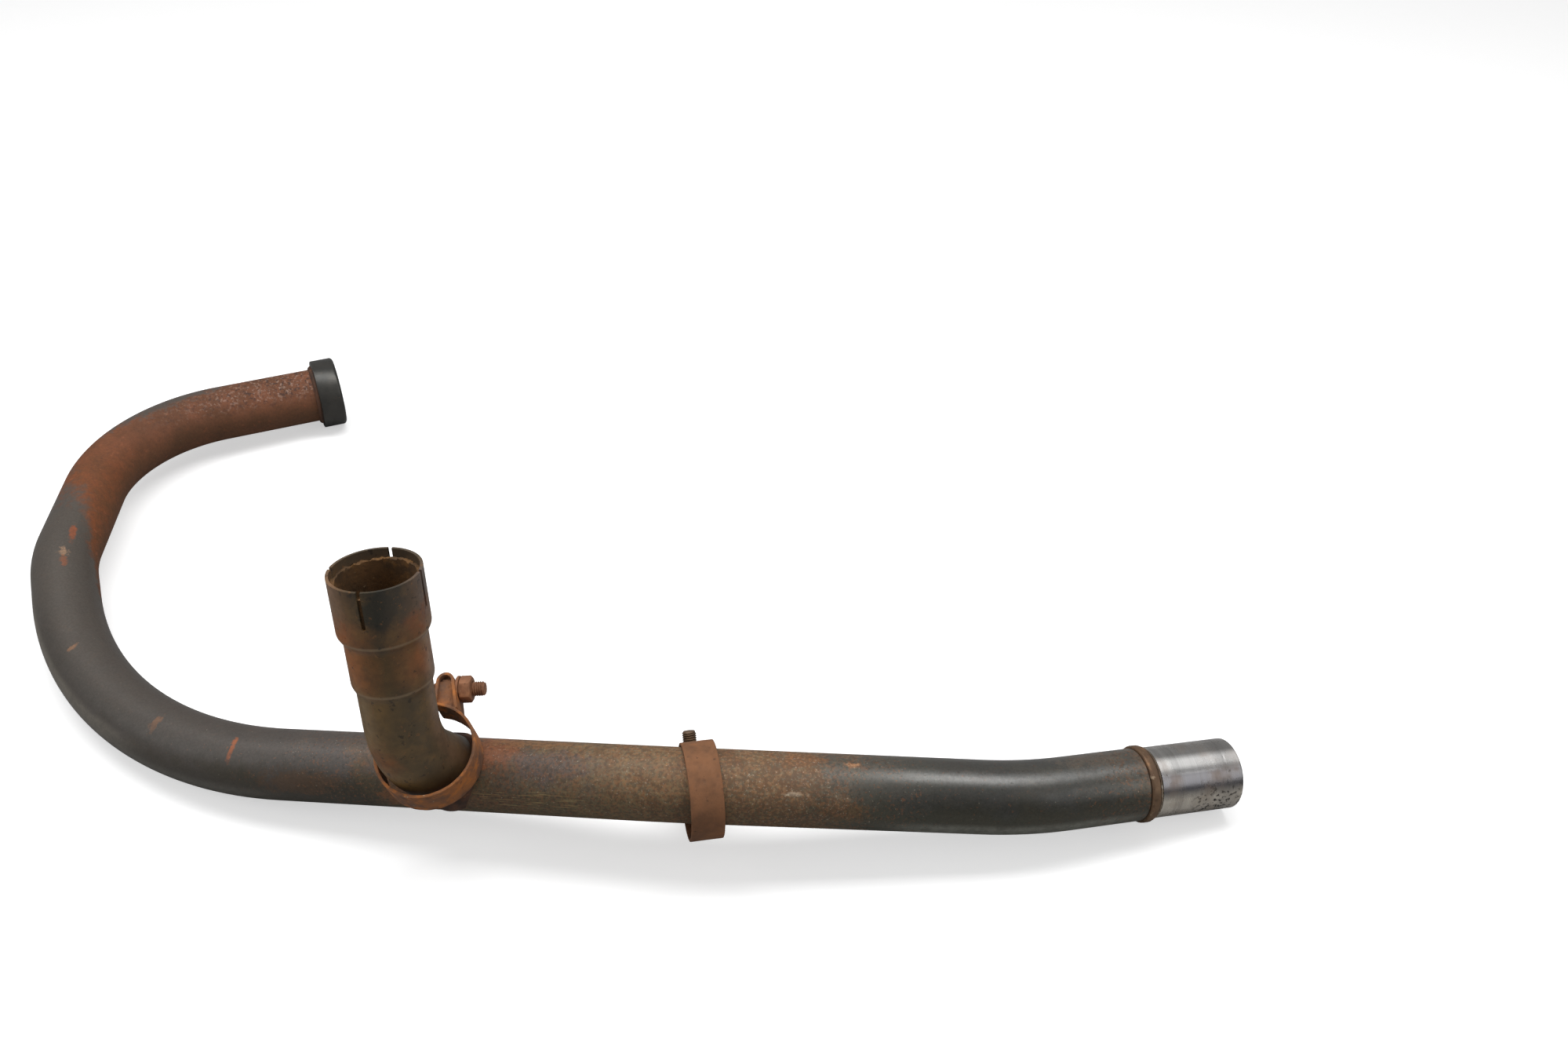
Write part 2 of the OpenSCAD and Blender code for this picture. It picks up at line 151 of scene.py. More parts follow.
@dataclass
class Route:
    """The centreline of a bent tube, given by its corners and the radii of its bends."""

    corners: tuple[Vector, ...]
    radii: tuple[float, ...]
    reference: Vector = field(default_factory=lambda: Vector((0, 0, 1)))
    stretches: list[Stretch] = field(default_factory=list)

    def __post_init__(self) -> None:
        """Works out the straights and the bends between them."""
        headings = [(b - a).normalized() for a, b in zip(self.corners, self.corners[1:], strict=False)]
        turns = [headings[i - 1].angle(headings[i]) for i in range(1, len(headings))]
        back = [0.0] + [r * math.tan(t / 2) for r, t in zip(self.radii, turns, strict=True)] + [0.0]
        travel = 0.0
        for i, heading in enumerate(headings):
            length = (self.corners[i + 1] - self.corners[i]).length - back[i] - back[i + 1]
            self.stretches.append(Stretch(travel, length, self.corners[i] + back[i] * heading, heading))
            travel += length
            if i < len(turns):
                onward = headings[i + 1]
                side = (onward - onward.dot(heading) * heading).normalized()
                start = self.corners[i + 1] - back[i + 1] * heading
                arc = turns[i] * self.radii[i]
                self.stretches.append(Stretch(travel, arc, start, heading, side, self.radii[i]))
                travel += arc
        self.length = travel

    def at(self, travel: float) -> tuple[Vector, Vector]:
        """Finds a place on the whole route.

        Args:
            travel: Distance from the route's start.

        Returns:
            The point and the direction of the centreline there.
        """
        for stretch in self.stretches:
            if travel <= stretch.begin + stretch.length or stretch is self.stretches[-1]:
                return stretch.at(travel - stretch.begin)
        return self.stretches[-1].at(0)

    def placed(self, travel: float) -> Matrix:
        """Stands a frame on the centreline, z along it and x turned to the reference direction."""
        point, heading = self.at(travel)
        return standing(point, heading, self.reference)

    def locate(self, points: np.ndarray) -> tuple[np.ndarray, np.ndarray]:
        """Finds how far along and how far round the tube each point lies.

        Args:
            points: Points in millimetres, one to a row.

        Returns:
            The distance along the centreline, and the angle round it from the reference direction.
        """
        best = np.full(len(points), np.inf)
        along, angle = np.zeros(len(points)), np.zeros(len(points))
        reference = np.array(self.reference)
        for index, stretch in enumerate(self.stretches):
            start, heading = np.array(stretch.start), np.array(stretch.heading)
            if stretch.side is None:
                travel = (points - start) @ heading
            else:
                side, centre = np.array(stretch.side), np.array(stretch.centre)
                rel = points - centre
                travel = stretch.radius * np.arctan2(rel @ heading, -(rel @ side))
            low = -1e3 if index == 0 else 0.0
            high = 1e4 if index == len(self.stretches) - 1 else stretch.length
            travel = np.clip(travel, low, high)
            if stretch.side is None:
                foot = start + travel[:, None] * heading
                ahead = np.repeat(heading[None], len(points), 0)
            else:
                a = travel / stretch.radius
                foot = centre - stretch.radius * (np.cos(a)[:, None] * side - np.sin(a)[:, None] * heading)
                ahead = np.cos(a)[:, None] * heading + np.sin(a)[:, None] * side
            out = points - foot
            far = np.linalg.norm(out, axis=1)
            x = reference - (ahead @ reference)[:, None] * ahead
            x /= np.linalg.norm(x, axis=1)[:, None]
            y = np.cross(ahead, x)
            near = far < best - 1e-9
            best[near] = far[near]
            along[near] = (travel + stretch.begin)[near]
            angle[near] = np.arctan2((out * y).sum(1), (out * x).sum(1))[near]
        return along, angle


# Shaping with bmesh operators


def once(items: Iterable) -> list:
    """Keeps each item once, in the order in which it first comes."""
    return list(dict.fromkeys(items))


class Clay:
    """A mesh that is shaped with bmesh operators and then finished as a piece."""

    def __init__(self) -> None:
        """Starts with nothing."""
        self.bm: BMesh = bmesh.new()

    def ring(self, radius: float, segments: int, place: Matrix) -> list[BMEdge]:
        """Adds an open ring of edges.

        Args:
            radius: Radius of the ring.
            segments: Number of edges.
            place: The ring's placement, with its axis along z.

        Returns:
            The new edges.
        """
        made = bmesh.ops.create_circle(
            self.bm, cap_ends=False, radius=radius, segments=segments, matrix=place
        )
        return once(e for v in made["verts"] for e in v.link_edges)

    def push(self, edges: list[BMEdge], move: Vector, times: int = 1) -> list[BMEdge]:
        """Extrudes edges by a move, in several equal steps.

        Args:
            edges: The edges to extrude.
            move: The whole move.
            times: Number of steps.

        Returns:
            The last edges.
        """
        for _ in range(times):
            made = bmesh.ops.extrude_edge_only(self.bm, edges=edges)["geom"]
            edges = [g for g in made if isinstance(g, BMEdge) and len(g.link_faces) == 1]
            verts = [g for g in made if isinstance(g, BMVert)]
            bmesh.ops.translate(self.bm, verts=verts, vec=move / times)
        return edges

    def turn(
        self, edges: list[BMEdge], centre: Vector, axis: Vector, angle: float, steps: int
    ) -> list[BMEdge]:
        """Spins edges about an axis.

        Args:
            edges: The edges to spin.
            centre: A point on the axis.
            axis: The axis.
            angle: The whole angle.
            steps: Number of steps.

        Returns:
            The last edges.
        """
        geom = once(v for e in edges for v in e.verts) + edges
        last = bmesh.ops.spin(
            self.bm, geom=geom, cent=centre, axis=axis, angle=angle, steps=steps, use_duplicate=False
        )["geom_last"]
        return [g for g in last if isinstance(g, BMEdge)]

    def sweep(
        self, route: Route, edges: list[BMEdge], first: float, last: float, step: float, fold: float
    ) -> list[BMEdge]:
        """Carries a ring along a route.

        Args:
            route: The centreline.
            edges: The ring at the start.
            first: Where the ring stands on the route.
            last: Where it ends.
            step: Length of a step on a straight.
            fold: Angle of a step in a bend, in degrees.

        Returns:
            The edges of the last ring.
        """
        for index, stretch in enumerate(route.stretches):
            low = first if index == 0 else max(first, stretch.begin)
            high = last if stretch is route.stretches[-1] else min(last, stretch.begin + stretch.length)
            if high - low < 1e-6:
                continue
            if stretch.side is None:
                edges = self.push(edges, (high - low) * stretch.heading, max(1, round((high - low) / step)))
            else:
                a = (high - low) / stretch.radius
                axis = (-stretch.side).cross(stretch.heading)
                steps = max(2, round(math.degrees(a) / fold))
                edges = self.turn(edges, stretch.centre, axis, a, steps)
        return edges

    def join(self, one: list[BMEdge], other: list[BMEdge]) -> None:
        """Bridges two rings of edges."""
        bmesh.ops.bridge_loops(self.bm, edges=one + other)

    def lathe(self, outline: Sequence[tuple[float, float]], steps: int, place: Matrix) -> None:
        """Turns a closed outline of radius and height about z.

        Args:
            outline: Points of radius and height.
            steps: Number of steps round.
            place: Where the turned shape goes.
        """
        before = set(self.bm.verts)
        verts = [self.bm.verts.new((r, 0, z)) for r, z in outline]
        edges = [self.bm.edges.new(pair) for pair in zip(verts, verts[1:] + verts[:1], strict=True)]
        bmesh.ops.spin(
            self.bm, geom=verts + edges, cent=(0, 0, 0), axis=(0, 0, 1), angle=FULL, steps=steps,
            use_merge=True, use_duplicate=False,
        )
        made = [v for v in self.bm.verts if v not in before]
        bmesh.ops.transform(self.bm, matrix=place, verts=made)

    def soften(self, width: float, segments: int) -> None:
        """Bevels every sharp edge.

        Args:
            width: Width of the bevel.
            segments: Its number of steps.
        """
        least = math.radians(30)
        self.tidy()
        sharp = [
            e for e in self.bm.edges
            if len(e.link_faces) == 2 and e.calc_face_angle(0) > least
        ]
        bmesh.ops.bevel(
            self.bm, geom=sharp, offset=width, segments=segments, profile=0.5, affect="EDGES",
            material=-1, clamp_overlap=True,
        )

    def tidy(self) -> None:
        """Merges doubles and points all faces outwards."""
        bmesh.ops.remove_doubles(self.bm, verts=self.bm.verts[:], dist=1e-4)
        bmesh.ops.recalc_face_normals(self.bm, faces=self.bm.faces[:])

    def displace(self, by: Callable[[Vector, Vector], float]) -> None:
        """Moves each vertex along its normal by what a function says, in millimetres."""
        self.bm.normal_update()
        for v in self.bm.verts:
            v.co += v.normal * by(v.co, v.normal)

    def mesh(self, name: str) -> bpy.types.Mesh:
        """Writes the clay to a mesh and lets it go.

        Args:
            name: Its name.

        Returns:
            The mesh.
        """
        made = bpy.data.meshes.new(name)
        self.bm.to_mesh(made)
        self.bm.free()
        return made


def thing(name: str, clay: Clay) -> bpy.types.Object:
    """Puts clay in the scene as an object at the origin.

    Args:
        name: Name of the object.
        clay: Its clay, which is used up.

    Returns:
        The new object.
    """
    made = bpy.data.objects.new(name, clay.mesh(name))
    bpy.context.scene.collection.objects.link(made)
    return made


def drop(piece: bpy.types.Object) -> None:
    """Removes an object with its mesh.

    Args:
        piece: The object.
    """
    old = piece.data
    bpy.data.objects.remove(piece)
    bpy.data.meshes.remove(old)


def reclaimed(piece: bpy.types.Object) -> Clay:
    """Takes an object's mesh back into clay and removes the object.

    Args:
        piece: The object.

    Returns:
        The clay.
    """
    clay = Clay()
    clay.bm.from_mesh(piece.data)
    drop(piece)
    return clay


def settled(piece: bpy.types.Object) -> bpy.types.Object:
    """Applies a piece's modifiers.

    Args:
        piece: The object.

    Returns:
        The same object with a plain mesh.
    """
    bpy.context.view_layer.update()
    done = bpy.data.meshes.new_from_object(piece.evaluated_get(bpy.context.evaluated_depsgraph_get()))
    piece.modifiers.clear()
    old = piece.data
    piece.data = done
    bpy.data.meshes.remove(old)
    return piece


def carve(piece: bpy.types.Object, cutter: bpy.types.Object, operation: str = "DIFFERENCE") -> None:
    """Cuts a piece with another object and throws the cutter away.

    Args:
        piece: The object to cut.
        cutter: What it is cut with.
        operation: The kind of cut.
    """
    cut = piece.modifiers.new("cut", "BOOLEAN")
    cut.object, cut.operation, cut.solver = cutter, operation, "EXACT"
    cut.use_self = operation == "UNION"
    settled(piece)
    drop(cutter)


def lay_uv(mesh: bpy.types.Mesh, route: Route, radius: float) -> None:
    """Writes the distance along and round a tube to a mesh's UV map, in metres.

    Args:
        mesh: A mesh in millimetres.
        route: The tube's centreline.
        radius: Radius at which the way round is measured.
    """
    points = np.zeros(len(mesh.vertices) * 3)
    mesh.vertices.foreach_get("co", points)
    along, angle = route.locate(points.reshape(-1, 3))
    loops = np.zeros(len(mesh.loops), dtype=np.int64)
    mesh.loops.foreach_get("vertex_index", loops)
    starts, totals = np.zeros(len(mesh.polygons), np.int64), np.zeros(len(mesh.polygons), np.int64)
    mesh.polygons.foreach_get("loop_start", starts)
    mesh.polygons.foreach_get("loop_total", totals)
    turn = angle[loops]
    first = np.repeat(turn[starts], totals)
    turn = np.where(
        turn - first > math.pi, turn - FULL, np.where(first - turn > math.pi, turn + FULL, turn)
    )
    layer = mesh.uv_layers.new(name="UVMap")
    uv = np.stack([along[loops] * MM, turn * radius * MM], 1)
    layer.data.foreach_set("uv", uv.astype(np.float32).ravel())


def finished(
    piece: bpy.types.Object,
    look: bpy.types.Material,
    node: str,
    sharp: float = 35.0,
) -> bpy.types.Object:
    """Scales a piece to metres, dresses it and lets it stand for its solid.

    Args:
        piece: The object, in millimetres.
        look: Its material.
        node: The solid that it stands for.
        sharp: Edges sharper than this, in degrees, stay sharp.

    Returns:
        The same object.
    """
    mesh = piece.data
    mesh.transform(Matrix.Scale(MM, 4))
    mesh.shade_smooth()
    mesh.set_sharp_from_angle(angle=math.radians(sharp))
    mesh.materials.clear()
    mesh.materials.append(look)
    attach(piece, ROOT)
    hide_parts(node)
    LOG.info("%s: %d faces", piece.name, len(mesh.polygons))
    return piece


def rounded(
    centre: tuple[float, float], size: float, first: float, last: float, steps: int
) -> list[tuple[float, float]]:
    """Lays points on an arc of a turned outline.

    Args:
        centre: The arc's centre as radius and height.
        size: The arc's radius.
        first: Angle of the first point in degrees, from the height towards the radius.
        last: Angle of the last point.
        steps: Number of steps.

    Returns:
        Points of radius and height.
    """
    angles = np.radians(np.linspace(first, last, steps + 1))
    return [(centre[0] + size * math.sin(a), centre[1] + size * math.cos(a)) for a in angles]


# Shader groups and materials


class Graph:
    """A node tree with short ways to add and link nodes."""

    def __init__(self, tree: bpy.types.NodeTree) -> None:
        """Keeps the tree."""
        self.tree = tree

    def add(self, kind: str, inputs: dict | None = None, **settings: object) -> bpy.types.Node:
        """Adds a node.

        Args:
            kind: The node's type without its ShaderNode prefix.
            inputs: Values or sockets for its inputs, by name or number.
            settings: Properties of the node.

        Returns:
            The node.
        """
        made = self.tree.nodes.new("ShaderNode" + kind)
        for key, value in settings.items():
            setattr(made, key, value)
        for key, value in (inputs or {}).items():
            self.feed(made.inputs[key], value)
        return made

    def feed(self, socket: bpy.types.NodeSocket, value: object) -> None:
        """Links a socket to another or sets its value.

        Args:
            socket: The input.
            value: Another socket, or a plain value.
        """
        if isinstance(value, bpy.types.NodeSocket):
            self.tree.links.new(value, socket)
        else:
            socket.default_value = value

    def math(self, operation: str, a: object, b: object = 0.0, clamp: bool = False) -> bpy.types.NodeSocket:
        """Adds a math node and gives its output."""
        return self.add("Math", {0: a, 1: b}, operation=operation, use_clamp=clamp).outputs[0]

    def span(
        self, value: object, low: object, high: object, out: tuple[float, float] = (0.0, 1.0)
    ) -> bpy.types.NodeSocket:
        """Maps a value smoothly from a range to another one."""
        inputs = {"Value": value, "From Min": low, "From Max": high, "To Min": out[0], "To Max": out[1]}
        return self.add("MapRange", inputs, interpolation_type="SMOOTHSTEP").outputs[0]

    def blend(self, share: object, a: object, b: object) -> bpy.types.NodeSocket:
        """Mixes two colours.

        Args:
            share: Share of the second one.
            a: The first one.
            b: The second one.

        Returns:
            The mixed colour.
        """
        node = self.add("Mix", data_type="RGBA", blend_type="MIX")
        self.feed(node.inputs[0], share)
        self.feed(node.inputs[6], a)
        self.feed(node.inputs[7], b)
        return node.outputs[2]

    def lerp(self, share: object, a: object, b: object) -> bpy.types.NodeSocket:
        """Mixes two numbers.

        Args:
            share: Share of the second one.
            a: The first one.
            b: The second one.

        Returns:
            The mixed number.
        """
        node = self.add("Mix", data_type="FLOAT")
        self.feed(node.inputs[0], share)
        self.feed(node.inputs[2], a)
        self.feed(node.inputs[3], b)
        return node.outputs[0]

    def ramp(self, value: object, stops: Sequence[tuple[float, object]]) -> bpy.types.NodeSocket:
        """Turns a value into a colour by stops.

        Args:
            value: The value.
            stops: Place and colour, or place and grey level, in rising order.

        Returns:
            The colour output.
        """
        node = self.add("ValToRGB", {0: value})
        bar = node.color_ramp
        bar.elements[0].position, bar.elements[1].position = stops[0][0], stops[-1][0]
        for place, _ in stops[1:-1]:
            bar.elements.new(place)
        for element, (_, colour) in zip(bar.elements, stops, strict=True):
            element.color = (colour, colour, colour, 1.0) if isinstance(colour, float) else colour
        return node.outputs[0]

    def noise(
        self, vector: object, scale: float, detail: float = 3.0, roughness: float = 0.55
    ) -> bpy.types.NodeSocket:
        """Adds a noise texture and gives its value."""
        inputs = {"Vector": vector, "Scale": scale, "Detail": detail, "Roughness": roughness}
        return self.add("TexNoise", inputs).outputs[0]

    def moved(self, vector: object, shift: tuple[float, float, float]) -> bpy.types.NodeSocket:
        """Shifts a vector."""
        return self.add("Mapping", {"Vector": vector, "Location": shift}).outputs[0]

    def group(self, kind: "Pattern", inputs: dict) -> bpy.types.Node:
        """Places a shared pattern.

        Args:
            kind: The pattern.
            inputs: Sockets or values for its inputs, by name.

        Returns:
            The placed group.
        """
        made = self.tree.nodes.new("ShaderNodeGroup")
        made.node_tree = PATTERNS[kind]
        for key, value in inputs.items():
            self.feed(made.inputs[key], value)
        return made


class Pattern(Enum):
    """The shared patterns of wear, rust and painted light."""

    SPECKS = "specks"
    PATCH = "patch"
    PITS = "pits"
    ZONE = "zone"
    STREAKS = "streaks"
    SPOT = "spot"


PATTERNS: dict[Pattern, bpy.types.NodeTree] = {}


class PatternShop:
    """Builds each shared pattern once."""

    @staticmethod
    def start(
        kind: Pattern, inputs: dict[str, object], outputs: Sequence[str]
    ) -> tuple[Graph, bpy.types.Node, bpy.types.Node]:
        """Starts a group with named inputs and outputs.

        Args:
            kind: The pattern.
            inputs: Name to default; a tuple stands for a vector.
            outputs: Names of the output values.

        Returns:
            The graph, its input node and its output node.
        """
        tree = bpy.data.node_groups.new(kind.value, "ShaderNodeTree")
        for name, default in inputs.items():
            vector = isinstance(default, tuple)
            socket = tree.interface.new_socket(
                name, in_out="INPUT", socket_type="NodeSocketVector" if vector else "NodeSocketFloat"
            )
            socket.default_value = default
        for name in outputs:
            tree.interface.new_socket(name, in_out="OUTPUT", socket_type="NodeSocketFloat")
        PATTERNS[kind] = tree
        graph = Graph(tree)
        return graph, tree.nodes.new("NodeGroupInput"), tree.nodes.new("NodeGroupOutput")

    @classmethod
    def specks(cls) -> None:
        """Ragged specks that cover more or less of the surface."""
        g, i, o = cls.start(
            Pattern.SPECKS,
            {"Vector": (0.0, 0.0, 0.0), "Scale": 300.0, "Coverage": 0.3, "Softness": 0.05, "Detail": 4.0},
            ["Mask"]
        )
        value = g.noise(i.outputs["Vector"], 1.0, 4.0, 0.62)
        texture = value.node
        g.feed(texture.inputs["Scale"], i.outputs["Scale"])
        g.feed(texture.inputs["Detail"], i.outputs["Detail"])
        level = g.span(i.outputs["Coverage"], 0.0, 1.0, (0.74, 0.3))
        low = g.math("SUBTRACT", level, i.outputs["Softness"])
        high = g.math("ADD", level, i.outputs["Softness"])
        g.feed(o.inputs["Mask"], g.span(value, low, high))

    @classmethod
    def patch(cls) -> None:
        """A ragged blot round a place."""
        g, i, o = cls.start(
            Pattern.PATCH,
            {
                "Vector": (0.0, 0.0, 0.0), "Centre": (0.0, 0.0, 0.0), "Radius": 0.02, "Feather": 0.01,
                "Ragged": 0.01, "Scale": 90.0
            },
            ["Mask"]
        )
        far = g.add(
            "VectorMath", {0: i.outputs["Vector"], 1: i.outputs["Centre"]}, operation="DISTANCE"
        ).outputs["Value"]
        wave = g.noise(i.outputs["Vector"], 1.0, 5.0, 0.65)
        g.feed(wave.node.inputs["Scale"], i.outputs["Scale"])
        wave = g.math("MULTIPLY", g.math("SUBTRACT", wave, 0.5), i.outputs["Ragged"])
        far = g.math("ADD", far, g.math("MULTIPLY", wave, 4.0))
        low = g.math("SUBTRACT", i.outputs["Radius"], i.outputs["Feather"])
        high = g.math("ADD", i.outputs["Radius"], i.outputs["Feather"])
        g.feed(o.inputs["Mask"], g.math("SUBTRACT", 1.0, g.span(far, low, high)))

    @classmethod
    def pits(cls) -> None:
        """Rust pits and grain as a height, and where the pits are."""
        g, i, o = cls.start(
            Pattern.PITS, {"Vector": (0.0, 0.0, 0.0), "Scale": 260.0, "Pitting": 0.5}, ["Height", "Pit"]
        )
        rough = g.noise(i.outputs["Vector"], 1.0, 6.0, 0.7)
        g.feed(rough.node.inputs["Scale"], i.outputs["Scale"])
        bend = g.add("VectorMath", {0: i.outputs["Vector"], 1: (7.0, 3.0, 5.0)}, operation="ADD").outputs[0]
        cells = g.add("TexVoronoi", {"Vector": bend, "Randomness": 1.0}, feature="SMOOTH_F1")
        g.feed(cells.inputs["Scale"], g.math("MULTIPLY", i.outputs["Scale"], 0.8))
        hole = g.math("SUBTRACT", 1.0, g.span(cells.outputs["Distance"], 0.05, 0.38))
        where = g.noise(i.outputs["Vector"], 55.0, 3.0)
        hole = g.math("MULTIPLY", hole, g.span(where, 0.42, 0.62))
        hole = g.math("MULTIPLY", hole, i.outputs["Pitting"])
        g.feed(o.inputs["Pit"], hole)
        g.feed(o.inputs["Height"], g.math("SUBTRACT", rough, g.math("MULTIPLY", hole, 0.9)))

    @classmethod
    def zone(cls) -> None:
        """A band between two places along a piece."""
        g, i, o = cls.start(Pattern.ZONE, {"Along": 0.0, "From": 0.0, "To": 1.0, "Feather": 0.01}, ["Mask"])
        rise = g.span(
            i.outputs["Along"], g.math("SUBTRACT", i.outputs["From"], i.outputs["Feather"]),
            g.math("ADD", i.outputs["From"], i.outputs["Feather"])
        )
        fall = g.span(
            i.outputs["Along"], g.math("SUBTRACT", i.outputs["To"], i.outputs["Feather"]),
            g.math("ADD", i.outputs["To"], i.outputs["Feather"])
        )
        g.feed(o.inputs["Mask"], g.math("MULTIPLY", rise, g.math("SUBTRACT", 1.0, fall)))

    @classmethod
    def streaks(cls) -> None:
        """Fine lines that run round or along a piece."""
        g, i, o = cls.start(
            Pattern.STREAKS, {"Vector": (0.0, 0.0, 0.0), "Stretch": (1.0, 1.0, 1.0), "Detail": 4.0},
            ["Value"]
        )
        vector = g.add(
            "VectorMath", {0: i.outputs["Vector"], 1: i.outputs["Stretch"]}, operation="MULTIPLY"
        ).outputs[0]
        value = g.noise(vector, 1.0, 4.0, 0.6)
        g.feed(value.node.inputs["Detail"], i.outputs["Detail"])
        g.feed(o.inputs["Value"], value)

    @classmethod
    def spot(cls) -> None:
        """A frayed ellipse at a place along and round a tube."""
        g, i, o = cls.start(
            Pattern.SPOT,
            {
                "Along": 0.0, "Around": 0.0, "Wave": 0.0, "Centre Along": 0.0, "Centre Around": 0.0,
                "Half Along": 0.01, "Half Around": 0.01, "Ragged": 0.5
            },
            ["Mask"]
        )
        x = g.math(
            "DIVIDE", g.math("SUBTRACT", i.outputs["Along"], i.outputs["Centre Along"]),
            i.outputs["Half Along"]
        )
        y = g.math(
            "DIVIDE", g.math("SUBTRACT", i.outputs["Around"], i.outputs["Centre Around"]),
            i.outputs["Half Around"]
        )
        far = g.math("SQRT", g.math("ADD", g.math("MULTIPLY", x, x), g.math("MULTIPLY", y, y)))
        wave = g.math("MULTIPLY", g.math("MULTIPLY", i.outputs["Wave"], i.outputs["Ragged"]), 5.0)
        g.feed(o.inputs["Mask"], g.math("SUBTRACT", 1.0, g.span(g.math("ADD", far, wave), 0.6, 1.25)))

    @classmethod
    def build(cls) -> None:
        """Builds them all."""
        for make in (cls.specks, cls.patch, cls.pits, cls.zone, cls.streaks, cls.spot):
            make()


class Paint(Graph):
    """A material with its Principled shader."""

    def __init__(self, name: str) -> None:
        """Makes the material and its coordinates.

        Args:
            name: Its name.
        """
        self.material = bpy.data.materials.new(name)
        self.material.use_nodes = True
        super().__init__(self.material.node_tree)
        self.tree.nodes.clear()
        self.shader = self.add("BsdfPrincipled")
        out = self.add("OutputMaterial")
        self.tree.links.new(self.shader.outputs[0], out.inputs[0])
        self.space = self.add("TexCoord").outputs["Object"]

    def uv(self) -> bpy.types.NodeSocket:
        """The piece's own map: metres along and round."""
        return self.add("UVMap", uv_map="UVMap").outputs[0]

    def specks(
        self, scale: float, coverage: object, softness: float = 0.04, shift: float = 0.0,
        detail: float = 4.0
    ) -> bpy.types.NodeSocket:
        """Places specks."""
        vector = self.moved(self.space, (shift, shift * 0.7, -shift)) if shift else self.space
        return self.group(
            Pattern.SPECKS,
            {"Vector": vector, "Scale": scale, "Coverage": coverage, "Softness": softness, "Detail": detail}
        ).outputs[0]

    def patch(
        self, centre: tuple[float, float, float], radius: float, feather: float, ragged: float
    ) -> bpy.types.NodeSocket:
        """Places a blot, with its sizes in millimetres."""
        spot = tuple(c * MM for c in centre)
        return self.group(
            Pattern.PATCH,
            {
                "Vector": self.space, "Centre": spot, "Radius": radius * MM, "Feather": feather * MM,
                "Ragged": ragged * MM
            }
        ).outputs[0]

    def zone(self, along: object, begin: float, end: float, feather: float) -> bpy.types.NodeSocket:
        """Places a band, with its sizes in millimetres."""
        return self.group(
            Pattern.ZONE, {"Along": along, "From": begin * MM, "To": end * MM, "Feather": feather * MM}
        ).outputs[0]

    def streaks(
        self, vector: object, stretch: tuple[float, float, float], detail: float = 4.0
    ) -> bpy.types.NodeSocket:
        """Places streaks."""
        return self.group(
            Pattern.STREAKS, {"Vector": vector, "Stretch": stretch, "Detail": detail}
        ).outputs[0]

    def pits(self, scale: float, pitting: object) -> bpy.types.Node:
        """Places pits."""
        return self.group(Pattern.PITS, {"Vector": self.space, "Scale": scale, "Pitting": pitting})

    def product(self, *values: object) -> bpy.types.NodeSocket:
        """Multiplies masks.

        Args:
            values: The masks.

        Returns:
            The product.
        """
        out = values[0]
        for value in values[1:]:
            out = self.math("MULTIPLY", out, value)
        return out

    def over(self, colour: object, top: object, *masks: object) -> bpy.types.NodeSocket:
        """Lays a colour over another one through the product of masks."""
        return self.blend(self.product(*masks), colour, top)

    def centred(self, value: object) -> bpy.types.NodeSocket:
        """Takes a half from a noise, so that it swings about zero."""
        return self.math("SUBTRACT", value, 0.5)

    def rest(self, mask: object) -> bpy.types.NodeSocket:
        """Turns a mask into what it leaves free."""
        return self.math("SUBTRACT", 1.0, mask)

    def bump(self, height: object, strength: float, distance: float) -> None:
        """Raises the surface by a height, in millimetres."""
        node = self.add("Bump", {"Height": height, "Strength": strength, "Distance": distance * MM})
        self.feed(self.shader.inputs["Normal"], node.outputs[0])

    def set(self, colour: object, roughness: object, metallic: object) -> None:
        """Feeds the main inputs.

        Args:
            colour: The colour.
            roughness: The roughness.
            metallic: How metallic it is.
        """
        self.feed(self.shader.inputs["Base Color"], colour)
        self.feed(self.shader.inputs["Roughness"], roughness)
        self.feed(self.shader.inputs["Metallic"], metallic)


@dataclass(frozen=True)
class Mark:
    """A patch or stroke at a place on the pipe, in millimetres along and round it."""

    along: float
    around: float
    half_along: float
    half_around: float
    colour: Colour
    strength: float = 0.8
    ragged: float = 0.5


@dataclass(frozen=True)
class PaintedLightBand:
    """A soft band of painted light and shade on the pipe: where it begins and ends and how it fades, along
    and round, in millimetres.
    """

    along: tuple[float, float, float]
    around: tuple[float, float, float]
    colour: Colour
    strength: float


